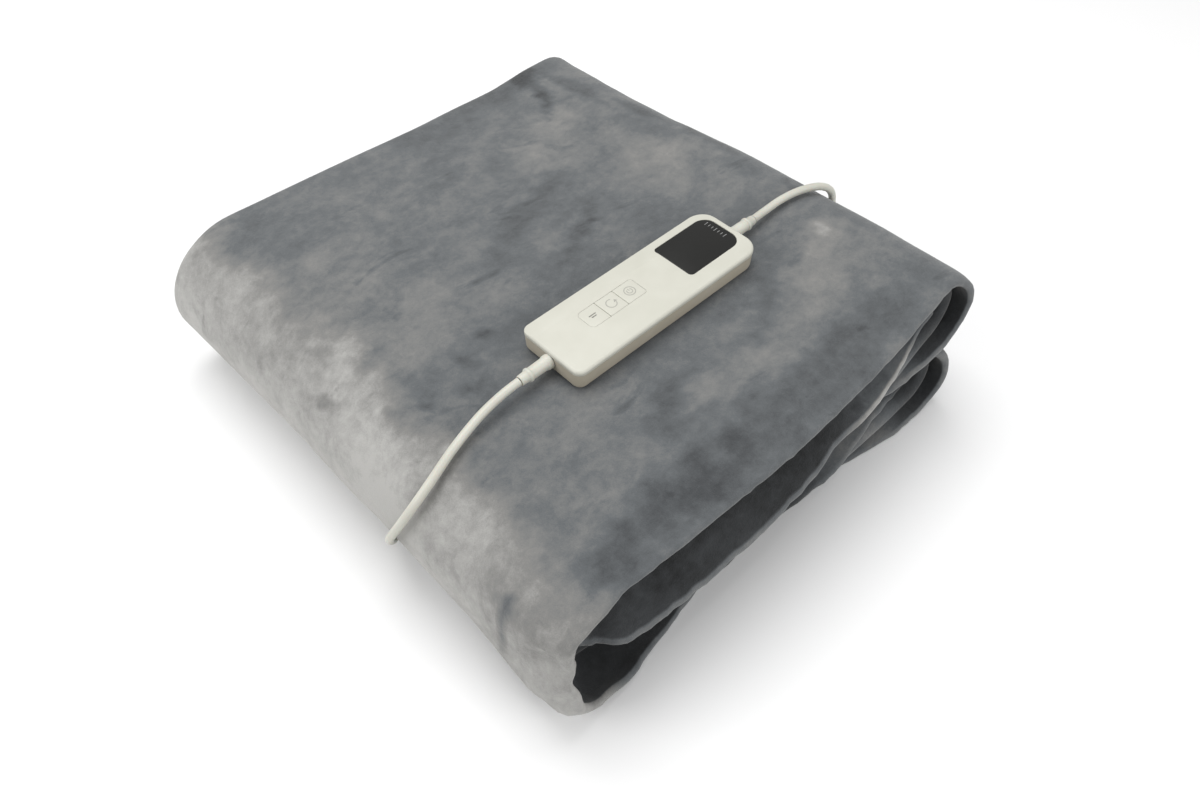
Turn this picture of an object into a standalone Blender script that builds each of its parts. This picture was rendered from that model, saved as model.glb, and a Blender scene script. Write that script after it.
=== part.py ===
"""Electric heated blanket, folded into a square stack, with its handset and cords.

The cloth is one closed solid. Across the stack (Y) it is a back-and-forth
section of four plies. That section is swept along a path in the XZ plane:
second level, upper loop, top level, big fold, bottom level, lower loop and
third level. The handset lies on the stack. Its lead runs over the big fold to
the back of the stack, and its mains cord ends in a round coil and a plug.

Metres, +Z up. The origin is on the stack's underside, near the middle of its
footprint.
"""

import math

import bmesh
import bpy
import numpy as np
from mathutils import Vector

# ---------------------------------------------------------------- dimensions
GAP = 0.0003                 # clearance between separate pieces that touch

# Cloth
PLY = 0.0055                 # one ply of plush, with its pile
PLY_GAP = 0.0013             # air between plies of one level
LEVEL_GAP = 0.0018           # air between levels
PITCH = PLY + PLY_GAP
GROUP = 4 * PLY + 3 * PLY_GAP
LEVEL_PITCH = GROUP + LEVEL_GAP
STACK = 3 * LEVEL_PITCH + GROUP
LEVEL_Z = {name: GROUP / 2 + k * LEVEL_PITCH
           for k, name in enumerate(("bottom", "third", "second", "top"))}

UPPER_LOOP_X = 0.1580        # centre of the loop that joins second and top
LOWER_LOOP_X = 0.1560        # centre of the loop that joins bottom and third
BIG_FOLD_X = -0.1310         # where the top and bottom levels turn into the big fold
BIG_FOLD_REACH = 0.0370      # how far the big fold's centre line bulges

# Where each level has a station of the section, in the order of the path.
LEVEL_STATIONS = {
    "second": (-0.138, -0.120, -0.095, -0.045, 0.005, 0.045, 0.080, 0.118, 0.130, 0.142, UPPER_LOOP_X),
    "top": (UPPER_LOOP_X, 0.130, 0.100, 0.050, 0.000, -0.068, -0.100, BIG_FOLD_X),
    "bottom": (BIG_FOLD_X, -0.095, -0.060, 0.000, 0.060, 0.110, LOWER_LOOP_X),
    "third": (LOWER_LOOP_X, 0.146, 0.090, 0.000, -0.065, -0.128),
}

DROOP_FROM = -0.1480         # plies hang down towards the front from here
DROOP_TO = -0.1850           # and have sunk by their level's drop here

# How each level's plies end, along the path. outer is the ply on the outside
# of the folds, middle the fold of the two plies between, inner the ply on the
# inside. The two back columns are the folds at the back. drop is how far the
# front edge hangs, and curl how far the outer ply's front edge curls inwards.
# In the big fold x only sets the order: its two rows are near its top and its middle.
EDGE_COLUMNS = ("part", "x", "outer", "middle", "inner", "back_outer", "back_inner", "drop",
                "curl")
EDGE_TABLE = (
    ("second", -0.138, -0.158, -0.163, -0.168, 0.188, 0.185, 0.042, 0.000),
    ("second", -0.130, -0.161, -0.168, -0.175, 0.188, 0.185, 0.048, 0.000),
    ("second", -0.118, -0.163, -0.171, -0.180, 0.188, 0.185, 0.044, 0.000),
    ("second", -0.095, -0.164, -0.173, -0.184, 0.189, 0.186, 0.039, 0.000),
    ("second", -0.020, -0.165, -0.174, -0.185, 0.189, 0.186, 0.040, 0.000),
    ("second", 0.030, -0.165, -0.173, -0.183, 0.189, 0.186, 0.037, 0.000),
    ("second", 0.060, -0.164, -0.171, -0.178, 0.189, 0.186, 0.033, 0.000),
    ("second", 0.085, -0.165, -0.172, -0.180, 0.188, 0.186, 0.034, 0.000),
    ("second", 0.118, -0.177, -0.176, -0.178, 0.187, 0.185, 0.014, 0.000),
    ("second", 0.142, -0.183, -0.174, -0.170, 0.187, 0.185, 0.002, 0.000),
    ("second", 0.158, -0.183, -0.173, -0.168, 0.186, 0.184, 0.001, 0.001),
    ("upper loop", 0.190, -0.183, -0.170, -0.164, 0.188, 0.186, 0.000, 0.004),
    ("top", 0.158, -0.174, -0.165, -0.160, 0.187, 0.185, 0.001, 0.001),
    ("top", 0.100, -0.180, -0.171, -0.164, 0.187, 0.185, 0.004, 0.000),
    ("top", 0.000, -0.185, -0.171, -0.163, 0.189, 0.187, 0.005, 0.000),
    ("top", -0.070, -0.183, -0.168, -0.160, 0.193, 0.191, 0.004, 0.000),
    ("top", -0.131, -0.180, -0.159, -0.155, 0.198, 0.195, 0.001, 0.003),
    ("big fold", -0.150, -0.184, -0.152, -0.149, 0.202, 0.199, 0.000, 0.009),
    ("big fold", -0.190, -0.188, -0.150, -0.147, 0.205, 0.202, 0.000, 0.014),
    ("bottom", -0.131, -0.187, -0.156, -0.153, 0.200, 0.197, 0.000, 0.008),
    ("bottom", -0.095, -0.179, -0.168, -0.168, 0.197, 0.194, 0.003, 0.001),
    ("bottom", -0.060, -0.173, -0.176, -0.179, 0.195, 0.192, 0.006, 0.000),
    ("bottom", 0.000, -0.170, -0.173, -0.177, 0.193, 0.190, 0.008, 0.000),
    ("bottom", 0.060, -0.173, -0.177, -0.182, 0.192, 0.189, 0.009, 0.000),
    ("bottom", 0.125, -0.186, -0.178, -0.172, 0.190, 0.187, 0.004, 0.000),
    ("bottom", 0.156, -0.187, -0.177, -0.170, 0.188, 0.186, 0.001, 0.001),
    ("lower loop", 0.190, -0.187, -0.175, -0.168, 0.187, 0.185, 0.000, 0.004),
    ("third", 0.156, -0.178, -0.170, -0.165, 0.187, 0.185, 0.001, 0.002),
    ("third", 0.146, -0.146, -0.145, -0.144, 0.188, 0.186, 0.000, 0.000),
    ("third", -0.128, -0.146, -0.145, -0.144, 0.188, 0.186, 0.000, 0.000),
)

CURL_LENGTH = 0.024          # of the outer ply's front, where it curls

# The free end of the second level reaches further out where it hangs in front.
FLAP_REACH = 0.0120
FLAP_FROM = -0.1520

# How far the loops' side sags at the front; below zero it stands a little proud.
FRONT_SAG = -0.0020

# The stack's height isn't even: how much its top rises or sinks, along X.
RISE_COLUMNS = ("x", "rise")
RISE_TABLE = (
    (-0.170, -0.0050),
    (-0.120, -0.0010),
    (-0.068, 0.0016),
    (0.100, 0.0016),
    (0.135, 0.0050),
    (0.185, 0.0065),
)
SWAY = 0.0020                # sideways unevenness of the folds
DRAWN_IN = 0.0110            # the loops' side is drawn in towards the back

# Handset
HANDSET_X = (-0.0655, 0.0885)
HANDSET_Y = (-0.0805, -0.0305)
HANDSET_FLOOR = 0.1115
HANDSET_HEIGHT = 0.0150
BASE_HEIGHT = 0.0112
NEAR_CORNER = 0.0060
FAR_CORNER = 0.0120
FACET_WIDTH = 0.0115         # sloped band along one long edge
FACET_DROP = 0.0014
CORD_AXIS_Z = HANDSET_FLOOR + HANDSET_HEIGHT / 2

WINDOW_X = (0.0370, 0.0840)
WINDOW_Y = (-0.0690, -0.0365)
WINDOW_DEPTH = 0.0012
KEYS_X = (-0.0355, 0.0090)
KEYS_Y = (-0.0600, -0.0450)
KEY_SPLITS = (-0.0210, -0.0065)
KEY_DEPTH = 0.0022
KEY_PROUD = 0.0002
KEY_TRAVEL = 0.0006

# Cords
CORD = 0.0052                # diameter of both cords
RELIEF_LENGTH = 0.0220
RELIEF_RADII = (0.0046, 0.0034)
CORD_POINT_STEP = 2.6        # diameters between points along a tube

# The lead leaves the handset's near end, goes over the big fold, along the
# nook under it and behind the stack, and in between the two lowest levels.
LEAD_ROUTE = (
    (-0.0881, -0.0555, 0.1190),
    (-0.1000, -0.0557, 0.1182),
    (-0.1180, -0.0570, 0.1152),
    (-0.1400, -0.0615, 0.1110),
    (-0.1570, -0.0650, 0.1045),
    (-0.1710, -0.0645, 0.0930),
    (-0.1805, -0.0590, 0.0760),
    (-0.1838, -0.0505, 0.0580),
    (-0.1815, -0.0415, 0.0410),
    (-0.1762, -0.0335, 0.0260),
    (-0.1695, -0.0225, 0.0138),
    (-0.1632, -0.0075, 0.0062),
    (-0.1597, 0.0130, 0.0034),
    (-0.1590, 0.0450, 0.0029),
    (-0.1590, 0.0900, 0.0029),
    (-0.1595, 0.1400, 0.0029),
    (-0.1600, 0.1820, 0.0029),
    (-0.1575, 0.2060, 0.0029),
    (-0.1440, 0.2260, 0.0029),
    (-0.1190, 0.2335, 0.0034),
    (-0.0920, 0.2310, 0.0070),
    (-0.0680, 0.2250, 0.0135),
    (-0.0510, 0.2150, 0.0205),
    (-0.0425, 0.2035, 0.0248),
    (-0.0400, 0.1965, 0.0260),
)

# The mains cord leaves the far end, goes over the loops and down behind them.
MAINS_ROUTE = (
    (0.1111, -0.0555, 0.1190),
    (0.1250, -0.0550, 0.1188),
    (0.1400, -0.0550, 0.1188),
    (0.1550, -0.0575, 0.1190),
    (0.1690, -0.0620, 0.1178),
    (0.1800, -0.0645, 0.1118),
    (0.1875, -0.0648, 0.1010),
    (0.1915, -0.0625, 0.0855),
    (0.1930, -0.0565, 0.0650),
    (0.1935, -0.0460, 0.0420),
    (0.1945, -0.0335, 0.0225),
    (0.1960, -0.0160, 0.0095),
    (0.1970, 0.0050, 0.0050),
    (0.1975, 0.0255, 0.0041),
)

# The coil: turns side by side in each layer, and layers on top of each other.
COIL_CENTRE = (0.2281, 0.0450)
COIL_RADIUS = 0.0280         # at the middle of the turns
COIL_COLUMNS = 2
COIL_LAYERS = 4
COIL_FLOOR = 0.0013          # the tie passes under it

# From the top of the coil down to the plug.
TAIL_ROUTE = (
    (0.1975, 0.0650, 0.0190),
    (0.1976, 0.0760, 0.0168),
    (0.1980, 0.0930, 0.0112),
    (0.1988, 0.1110, 0.0072),
    (0.1998, 0.1260, 0.0070),
    (0.2002, 0.1375, 0.0072),
)

TIE_WIDTH = 0.0100
TIE_THICKNESS = 0.0010

PLUG_AXIS = (0.2003, 0.0072) # x and z of the plug's axis, which runs along +Y
PLUG_START = 0.1378
PLUG_RELIEF_LENGTH = 0.0160
PLUG_LENGTH = 0.0355
PLUG_WIDTHS = (0.0200, 0.0355)
PLUG_THICKNESS = 0.0137
PIN_SPACING = 0.0186
PIN_RADIUS = 0.0020
PIN_LENGTH = 0.0190

# ------------------------------------------------------------------- helpers


def clear_scene():
    """Remove whatever the scene holds."""
    for obj in list(bpy.data.objects):
        bpy.data.objects.remove(obj, do_unlink=True)


def new_collection(name):
    """A collection of the given name, linked to the scene."""
    collection = bpy.data.collections.new(name)
    bpy.context.scene.collection.children.link(collection)
    return collection


def material(name, color, roughness, metallic=0.0):
    """A plain Principled material."""
    mat = bpy.data.materials.new(name)
    mat.use_nodes = True
    shader = mat.node_tree.nodes["Principled BSDF"]
    shader.inputs["Base Color"].default_value = (*color, 1.0)
    shader.inputs["Roughness"].default_value = roughness
    shader.inputs["Metallic"].default_value = metallic
    return mat


def add_object(name, data, collection, mat):
    """Link an object for the given mesh or curve."""
    obj = bpy.data.objects.new(name, data)
    if mat is not None:
        data.materials.append(mat)
    collection.objects.link(obj)
    return obj


def mesh_from_bmesh(name, bm):
    """Turn a bmesh into mesh data with its faces pointing out."""
    bmesh.ops.recalc_face_normals(bm, faces=bm.faces)
    mesh = bpy.data.meshes.new(name)
    bm.to_mesh(mesh)
    bm.free()
    return mesh


def smooth_step(u):
    """0 to 1 with level ends."""
    u = np.clip(u, 0.0, 1.0)
    return u * u * (3.0 - 2.0 * u)


def smooth_curve(points, step):
    """Points a step apart along a Catmull-Rom curve through the given ones."""
    pts = [Vector(p) for p in points]
    pts = [2 * pts[0] - pts[1]] + pts + [2 * pts[-1] - pts[-2]]
    dense = []
    for a, b, c, d in zip(pts, pts[1:], pts[2:], pts[3:]):
        for k in range(24):
            t = k / 24
            dense.append(0.5 * (2 * b + (c - a) * t + (2 * a - 5 * b + 4 * c - d) * t * t
                                + (3 * b - a - 3 * c + d) * t ** 3))
    dense.append(pts[-2].copy())
    lengths = np.concatenate([[0.0], np.cumsum([(q - p).length for p, q in zip(dense, dense[1:])])])
    count = max(2, round(lengths[-1] / step))
    marks = np.linspace(0.0, lengths[-1], count + 1)
    xyz = np.array(dense)
    return [tuple(np.interp(m, lengths, xyz[:, k]) for k in range(3)) for m in marks]


# --------------------------------------------------------------------- cloth


def straight(part, outward):
    """Stations along one level: part, x, z and the outward direction."""
    return [(part, x, LEVEL_Z[part], 0.0, outward) for x in LEVEL_STATIONS[part]]


def bend(part, x, z, reach, half_height, start, count):
    """Stations round a half ellipse, without its two end points."""
    stations = []
    for angle in np.radians(start + 180.0 * np.arange(1, count + 1) / (count + 1)):
        cos, sin = math.cos(angle), math.sin(angle)
        nx, nz = cos * half_height, sin * reach
        size = math.hypot(nx, nz)
        stations.append((part, x + reach * cos, z + half_height * sin, nx / size, nz / size))
    return stations


def fold_path():
    """The whole path that the four-ply section follows, end to end."""
    z = LEVEL_Z
    loop = LEVEL_PITCH / 2
    path = straight("second", -1.0)
    path += bend("upper loop", UPPER_LOOP_X, (z["second"] + z["top"]) / 2, loop, loop, -90.0, 5)
    path += straight("top", 1.0)
    path += bend("big fold", BIG_FOLD_X, (z["top"] + z["bottom"]) / 2, BIG_FOLD_REACH,
                 (z["top"] - z["bottom"]) / 2, 90.0, 8)
    path += straight("bottom", -1.0)
    path += bend("lower loop", LOWER_LOOP_X, (z["bottom"] + z["third"]) / 2, loop, loop, -90.0, 5)
    path += straight("third", 1.0)
    return path


def path_lengths(path):
    """Distance along the path to each station."""
    steps = [math.hypot(b[1] - a[1], b[2] - a[2]) for a, b in zip(path, path[1:])]
    return np.concatenate([[0.0], np.cumsum(steps)])


def edge_lookup(path, lengths):
    """A function that gives the edge table's values at a distance along the path."""
    marks = []
    for row in EDGE_TABLE:
        stations = [k for k, s in enumerate(path) if s[0] == row[0]]
        xs = np.array([path[k][1] for k in stations])
        order = np.argsort(xs)
        marks.append(np.interp(row[1], xs[order], lengths[stations][order]))
    values = np.array([row[2:] for row in EDGE_TABLE])
    names = EDGE_COLUMNS[2:]
    return lambda s: {n: float(np.interp(s, marks, values[:, k])) for k, n in enumerate(names)}


def droop(y, drop):
    """How far a ply has sunk at y, on its way to the front edge."""
    return drop * max(0.0, (DROOP_FROM - y) / (DROOP_FROM - DROOP_TO))


def ply_points(front, back):
    """y values along one straight ply, closer together where it droops."""
    hang = max(DROOP_FROM, front + 0.008)
    lip = [front + (hang - front) * share for share in (0.0, 0.18, 0.45, 0.72, 1.0)]
    return lip + [-0.1300, -0.0200, 0.0900, back]


def curled(y, front, curl):
    """How far the outer ply has curled inwards at y, along a quarter of an ellipse."""
    share = min(1.0, max(0.0, (front + CURL_LENGTH - y) / CURL_LENGTH))
    return curl * (1.0 - math.sqrt(1.0 - 0.96 * share * share))


def flap_shift(part, x, y):
    """How far the second level's free end is drawn out where it hangs in front."""
    if part != "second":
        return 0.0
    return FLAP_REACH * float(smooth_step((FLAP_FROM - y) / 0.012) * smooth_step((-0.105 - x) / 0.033))


def turn(centre_y, centre_n, start, radius):
    """Centre-line points round a fold of two plies, without its ends."""
    return [(centre_y + radius * math.cos(a), centre_n + radius * math.sin(a))
            for a in np.radians([start - 45.0, start - 90.0, start - 135.0])]


def section_centre_line(edge):
    """The four-ply zigzag as (y, n) points, n being along the outward direction."""
    n = [PITCH * k for k in (1.5, 0.5, -0.5, -1.5)]
    radius = PITCH / 2
    back_1 = edge["back_outer"] - radius
    back_2 = edge["back_inner"] - radius
    front = edge["middle"] + radius
    line = [(y, n[0] - curled(y, edge["outer"], edge["curl"]))
            for y in ply_points(edge["outer"], back_1)]
    line += turn(back_1, (n[0] + n[1]) / 2, 90.0, radius)
    line += [(y, n[1]) for y in reversed(ply_points(front, back_1))]
    line += [(front - (y - front), m) for y, m in turn(front, (n[1] + n[2]) / 2, 90.0, radius)]
    line += [(y, n[2]) for y in ply_points(front, back_2)]
    line += turn(back_2, (n[2] + n[3]) / 2, 90.0, radius)
    line += [(y, n[3]) for y in reversed(ply_points(edge["inner"], back_2))]
    return np.array(line)


def offset_line(line, distance):
    """The line moved sideways by a distance, along its own normals."""
    tangent = np.gradient(line, axis=0)
    tangent /= np.linalg.norm(tangent, axis=1)[:, None]
    return line + distance * np.stack([-tangent[:, 1], tangent[:, 0]], axis=1)


def section_ring(edge):
    """The closed outline of the zigzag: up one side, round the hem, and back."""
    line = section_centre_line(edge)
    upper = offset_line(line, PLY / 2)
    lower = offset_line(line, -PLY / 2)
    nose = PLY * 0.3
    first = line[0] - np.array([nose, 0.0])
    last = line[-1] - np.array([nose, 0.0])
    return np.concatenate([upper, [last], lower[::-1], [first]]), len(line)


def settle(x, y, z):
    """The stack's unevenness: its height along X and the sway of its folds."""
    rise_x = [row[0] for row in RISE_TABLE]
    rise = np.interp(x, rise_x, [row[1] for row in RISE_TABLE])
    sway = SWAY * math.sin(9.0 * y + 35.0 * z) * smooth_step((abs(x) - 0.12) / 0.05)
    sway -= DRAWN_IN * smooth_step((y + 0.03) / 0.16) * smooth_step((x - 0.05) / 0.10)
    rise -= FRONT_SAG * smooth_step((-0.12 - y) / 0.06) * smooth_step((x - 0.12) / 0.06)
    return x + float(sway), y, z * (1.0 + float(rise) / STACK)


def build_blanket(collection, mat):
    """Sweep the zigzag section along the fold path as one closed solid."""
    path = fold_path()
    lengths = path_lengths(path)
    edges = edge_lookup(path, lengths)
    bm = bmesh.new()
    rings = []
    for station, s in zip(path, lengths):
        part, x, z, nx, nz = station
        edge = edges(s)
        ring, count = section_ring(edge)
        corners = []
        for y, n in ring:
            height = z + nz * n
            sunk = droop(y, edge["drop"]) * min(1.0, height / GROUP)
            out = x + nx * n - flap_shift(part, x, y)
            corners.append(bm.verts.new(settle(out, y, height - sunk)))
        rings.append(corners)
    for a, b in zip(rings, rings[1:]):
        for k in range(len(a)):
            m = (k + 1) % len(a)
            bm.faces.new((a[k], a[m], b[m], b[k]))
    for ring in (rings[0], rings[-1]):
        last = 2 * count
        for k in range(count - 1):
            bm.faces.new((ring[k], ring[k + 1], ring[last - k - 1], ring[last - k]))
        bm.faces.new((ring[count - 1], ring[count], ring[count + 1]))
        bm.faces.new((ring[last], ring[last + 1], ring[0]))
    add_object("blanket", mesh_from_bmesh("blanket", bm), collection, mat)


# ------------------------------------------------------------------- handset


def rounded_outline(x_range, y_range, near_radius, far_radius, inset=0.0, segments=5):
    """Corner points of a rectangle whose two ends have their own radii."""
    x0, x1 = x_range[0] + inset, x_range[1] - inset
    y0, y1 = y_range[0] + inset, y_range[1] - inset
    near = max(near_radius - inset, 0.0008)
    far = max(far_radius - inset, 0.0008)
    corners = ((x0 + near, y0 + near, near, 180), (x1 - far, y0 + far, far, 270),
               (x1 - far, y1 - far, far, 0), (x0 + near, y1 - near, near, 90))
    points = []
    for cx, cy, radius, start in corners:
        for k in range(segments + 1):
            angle = math.radians(start + 90.0 * k / segments)
            points.append((cx + radius * math.cos(angle), cy + radius * math.sin(angle)))
    return points


def stacked_outlines(name, layers, collection, mat):
    """A solid through equal-sized outlines, each a (points, z) pair, low to high."""
    bm = bmesh.new()
    rings = [[bm.verts.new((x, y, z)) for x, y in points] for points, z in layers]
    for a, b in zip(rings, rings[1:]):
        for k in range(len(a)):
            m = (k + 1) % len(a)
            bm.faces.new((a[k], a[m], b[m], b[k]))
    bm.faces.new(rings[0])
    bm.faces.new(rings[-1])
    return add_object(name, mesh_from_bmesh(name, bm), collection, mat)


def block(name, x_range, y_range, z_range, near, far, edge, collection, mat):
    """A rounded plate with softened upper edges."""
    soft = rounded_outline(x_range, y_range, near, far, inset=edge)
    full = rounded_outline(x_range, y_range, near, far)
    layers = [(full, z_range[0]), (full, z_range[1] - edge), (soft, z_range[1])]
    return stacked_outlines(name, layers, collection, mat)


def cut(target, cutter):
    """Cut one object by another with an exact boolean."""
    modifier = target.modifiers.new("cut_" + cutter.name, "BOOLEAN")
    modifier.operation = "DIFFERENCE"
    modifier.solver = "EXACT"
    modifier.object = cutter
    cutter.hide_render = True
    cutter.display_type = "WIRE"


def build_handset(collection, cutters, mats):
    """Lower shell, upper shell with a window and three keys."""
    floor, top = HANDSET_FLOOR, HANDSET_FLOOR + HANDSET_HEIGHT
    split = floor + BASE_HEIGHT

    def outline(inset):
        return rounded_outline(HANDSET_X, HANDSET_Y, NEAR_CORNER, FAR_CORNER, inset)

    stacked_outlines("handset_base", [
        (outline(0.0030), floor),
        (outline(0.0010), floor + 0.0018),
        (outline(0.0003), split - 0.0004),
        (outline(0.0007), split)], collection, mats["shell_side"])
    shell = stacked_outlines("handset_top", [
        (outline(0.0004), split + GAP),
        (outline(0.0000), split + GAP + 0.0004),
        (outline(0.0001), top - 0.0016),
        (outline(0.0007), top - 0.0004),
        (outline(0.0018), top)], collection, mats["shell"])

    bm = bmesh.new()
    bmesh.ops.create_cube(bm, size=1.0)
    bmesh.ops.scale(bm, vec=(0.30, 0.03, 0.01), verts=bm.verts)
    facet = add_object("facet_cutter", mesh_from_bmesh("facet_cutter", bm), cutters, None)
    slope = math.atan2(FACET_DROP, FACET_WIDTH)
    hinge = Vector((0.0, HANDSET_Y[1] - FACET_WIDTH, top))
    facet.rotation_euler = (-slope, 0.0, 0.0)
    facet.location = hinge + Vector((0.0, 0.015 * math.cos(slope) + 0.005 * math.sin(slope),
                                     -0.015 * math.sin(slope) + 0.005 * math.cos(slope)))
    cut(shell, facet)

    recess = block("window_cutter", WINDOW_X, WINDOW_Y, (top - WINDOW_DEPTH, top + 0.002),
                   0.0030, 0.0090, 0.0001, cutters, None)
    cut(shell, recess)
    window_x = (WINDOW_X[0] + GAP, WINDOW_X[1] - GAP)
    window_y = (WINDOW_Y[0] + GAP, WINDOW_Y[1] - GAP)
    block("display_window", window_x, window_y, (top - WINDOW_DEPTH + GAP, top - 0.0003),
          0.0030, 0.0090, 0.0002, collection, mats["window"])

    well = block("key_cutter", KEYS_X, KEYS_Y, (top - KEY_DEPTH, top + 0.002),
                 0.0035, 0.0020, 0.0001, cutters, None)
    cut(shell, well)
    edges = (KEYS_X[0],) + KEY_SPLITS + (KEYS_X[1],)
    radii = ((0.0032, 0.0006), (0.0006, 0.0006), (0.0006, 0.0018))
    for name, x0, x1, (near, far) in zip(("key_left", "key_middle", "key_right"),
                                         edges, edges[1:], radii):
        key_x = (x0 + GAP, x1 - GAP)
        key_y = (KEYS_Y[0] + GAP, KEYS_Y[1] - GAP)
        key_z = (top - KEY_DEPTH + KEY_TRAVEL + GAP, top + KEY_PROUD)
        block(name, key_x, key_y, key_z, near, far, 0.0003, collection, mats["key"])


# --------------------------------------------------------------------- cords


def turned(name, profile, origin, direction, collection, mat, segments=20):
    """A solid of revolution: (distance, radius) pairs along a direction."""
    bm = bmesh.new()
    axis = Vector(direction).normalized()
    side = axis.orthogonal().normalized()
    other = axis.cross(side)
    rings = []
    for distance, radius in profile:
        ring = []
        for k in range(segments):
            angle = 2 * math.pi * k / segments
            spoke = side * math.cos(angle) + other * math.sin(angle)
            ring.append(bm.verts.new(Vector(origin) + axis * distance + spoke * radius))
        rings.append(ring)
    for a, b in zip(rings, rings[1:]):
        for k in range(segments):
            m = (k + 1) % segments
            bm.faces.new((a[k], a[m], b[m], b[k]))
    bm.faces.new(rings[0])
    bm.faces.new(rings[-1])
    return add_object(name, mesh_from_bmesh(name, bm), collection, mat)


def tube(name, route, collection, mat):
    """A round cord along a smooth curve through the route's points."""
    points = smooth_curve(route, CORD_POINT_STEP * CORD)
    curve = bpy.data.curves.new(name, "CURVE")
    curve.dimensions = "3D"
    curve.bevel_depth = CORD / 2
    curve.bevel_resolution = 2
    curve.use_fill_caps = True
    spline = curve.splines.new("POLY")
    spline.points.add(len(points) - 1)
    for target, point in zip(spline.points, points):
        target.co = (*point, 1.0)
    return add_object(name, curve, collection, mat)


def relief_profile(length, radii):
    """A collar, then a ringed taper down to just over the cord's own size."""
    start, end = radii
    middle = (start + end) / 2
    return ((0.0, start), (0.14 * length, start), (0.20 * length, middle), (0.62 * length, middle * 0.97),
            (0.66 * length, middle * 1.10), (0.74 * length, middle * 1.10), (0.78 * length, end),
            (length, end * 0.92))


def build_cords(collection, mats):
    """Strain reliefs, both cords, the coil with its tie, and the plug."""
    axis_y = (HANDSET_Y[0] + HANDSET_Y[1]) / 2
    profile = relief_profile(RELIEF_LENGTH, RELIEF_RADII)
    turned("relief_lead", profile, (HANDSET_X[0] - GAP, axis_y, CORD_AXIS_Z), (-1, 0, 0),
           collection, mats["cord"])
    turned("relief_mains", profile, (HANDSET_X[1] + GAP, axis_y, CORD_AXIS_Z), (1, 0, 0),
           collection, mats["cord"])
    tube("cord_lead", LEAD_ROUTE, collection, mats["cord"])
    tube("cord_mains", MAINS_ROUTE, collection, mats["cord"])
    tube("cord_tail", TAIL_ROUTE, collection, mats["cord"])
    build_coil(collection, mats)
    build_plug(collection, mats)


def build_coil(collection, mats):
    """The coil's outer shape as a turned ring, and the tie round it."""
    half_width = COIL_COLUMNS * CORD / 2
    height = COIL_LAYERS * CORD
    soft = CORD * 0.3
    inner, outer = COIL_RADIUS - half_width, COIL_RADIUS + half_width
    low, high = COIL_FLOOR, COIL_FLOOR + height
    outline = ((outer, high - soft), (outer, low + soft), (outer - soft, low), (inner + soft, low),
               (inner, low + soft), (inner, high - soft), (inner + soft, high), (outer - soft, high))
    bm = bmesh.new()
    verts = [bm.verts.new((r, 0.0, z)) for r, z in outline]
    for a, b in zip(verts, verts[1:] + verts[:1]):
        bm.edges.new((a, b))
    mesh = bpy.data.meshes.new("mains_coil")
    bm.to_mesh(mesh)
    bm.free()
    ring = add_object("mains_coil", mesh, collection, mats["cord"])
    ring.location = (*COIL_CENTRE, 0.0)
    screw = ring.modifiers.new("turn", "SCREW")
    screw.steps = 40
    screw.render_steps = 40
    screw.use_merge_vertices = True
    screw.merge_threshold = 0.0001

    tie_x = COIL_CENTRE[0] + COIL_RADIUS
    tie_low, tie_high = tie_x - half_width - 3 * GAP, tie_x + half_width + GAP
    bm = bmesh.new()
    rings = []
    for grow in (0.0, TIE_THICKNESS):
        floor, top = TIE_THICKNESS - grow, high + GAP + grow
        corners = [(tie_low - grow, floor), (tie_high + grow, floor),
                   (tie_high + grow, top), (tie_low - grow, top)]
        for side in (-1, 1):
            y = COIL_CENTRE[1] + side * TIE_WIDTH / 2
            rings.append([bm.verts.new((x, y, z)) for x, z in corners])
    for a, b in ((0, 1), (1, 3), (3, 2), (2, 0)):
        for k in range(4):
            m = (k + 1) % 4
            bm.faces.new((rings[a][k], rings[a][m], rings[b][m], rings[b][k]))
    add_object("coil_tie", mesh_from_bmesh("coil_tie", bm), collection, mats["tie"])


def build_plug(collection, mats):
    """A slim two-pin plug that lies flat beside the coil."""
    x, z = PLUG_AXIS
    turned("plug_relief", relief_profile(PLUG_RELIEF_LENGTH, (0.0044, 0.0033))[::-1],
           (x, PLUG_START + PLUG_RELIEF_LENGTH, z), (0, -1, 0), collection, mats["cord"])
    start = PLUG_START + PLUG_RELIEF_LENGTH + GAP
    narrow, wide = (w / 2 for w in PLUG_WIDTHS)
    half = PLUG_THICKNESS / 2
    edge = 0.0022
    shape = ((0.0, narrow * 0.75), (0.004, narrow), (0.014, narrow * 1.12), (0.024, wide * 0.92),
             (PLUG_LENGTH - 0.003, wide), (PLUG_LENGTH, wide * 0.97))
    layers = []
    for distance, width in shape:
        ring = [(width, half - edge), (width - edge, half), (edge - width, half), (-width, half - edge),
                (-width, edge - half), (edge - width, -half), (width - edge, -half), (width, edge - half)]
        layers.append([(x + a, start + distance, z + b) for a, b in ring])
    bm = bmesh.new()
    rings = [[bm.verts.new(p) for p in ring] for ring in layers]
    for a, b in zip(rings, rings[1:]):
        for k in range(8):
            m = (k + 1) % 8
            bm.faces.new((a[k], a[m], b[m], b[k]))
    bm.faces.new(rings[0])
    bm.faces.new(rings[-1])
    add_object("plug_body", mesh_from_bmesh("plug_body", bm), collection, mats["cord"])
    pin = ((0.0, PIN_RADIUS), (0.009, PIN_RADIUS), (PIN_LENGTH - 0.0012, PIN_RADIUS * 0.97),
           (PIN_LENGTH, PIN_RADIUS * 0.6))
    for name, side in (("plug_pin_left", -1), ("plug_pin_right", 1)):
        turned(name, pin, (x + side * PIN_SPACING / 2, start + PLUG_LENGTH + GAP, z), (0, 1, 0),
               collection, mats["pin"], segments=16)


# ---------------------------------------------------------------------- main


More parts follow.
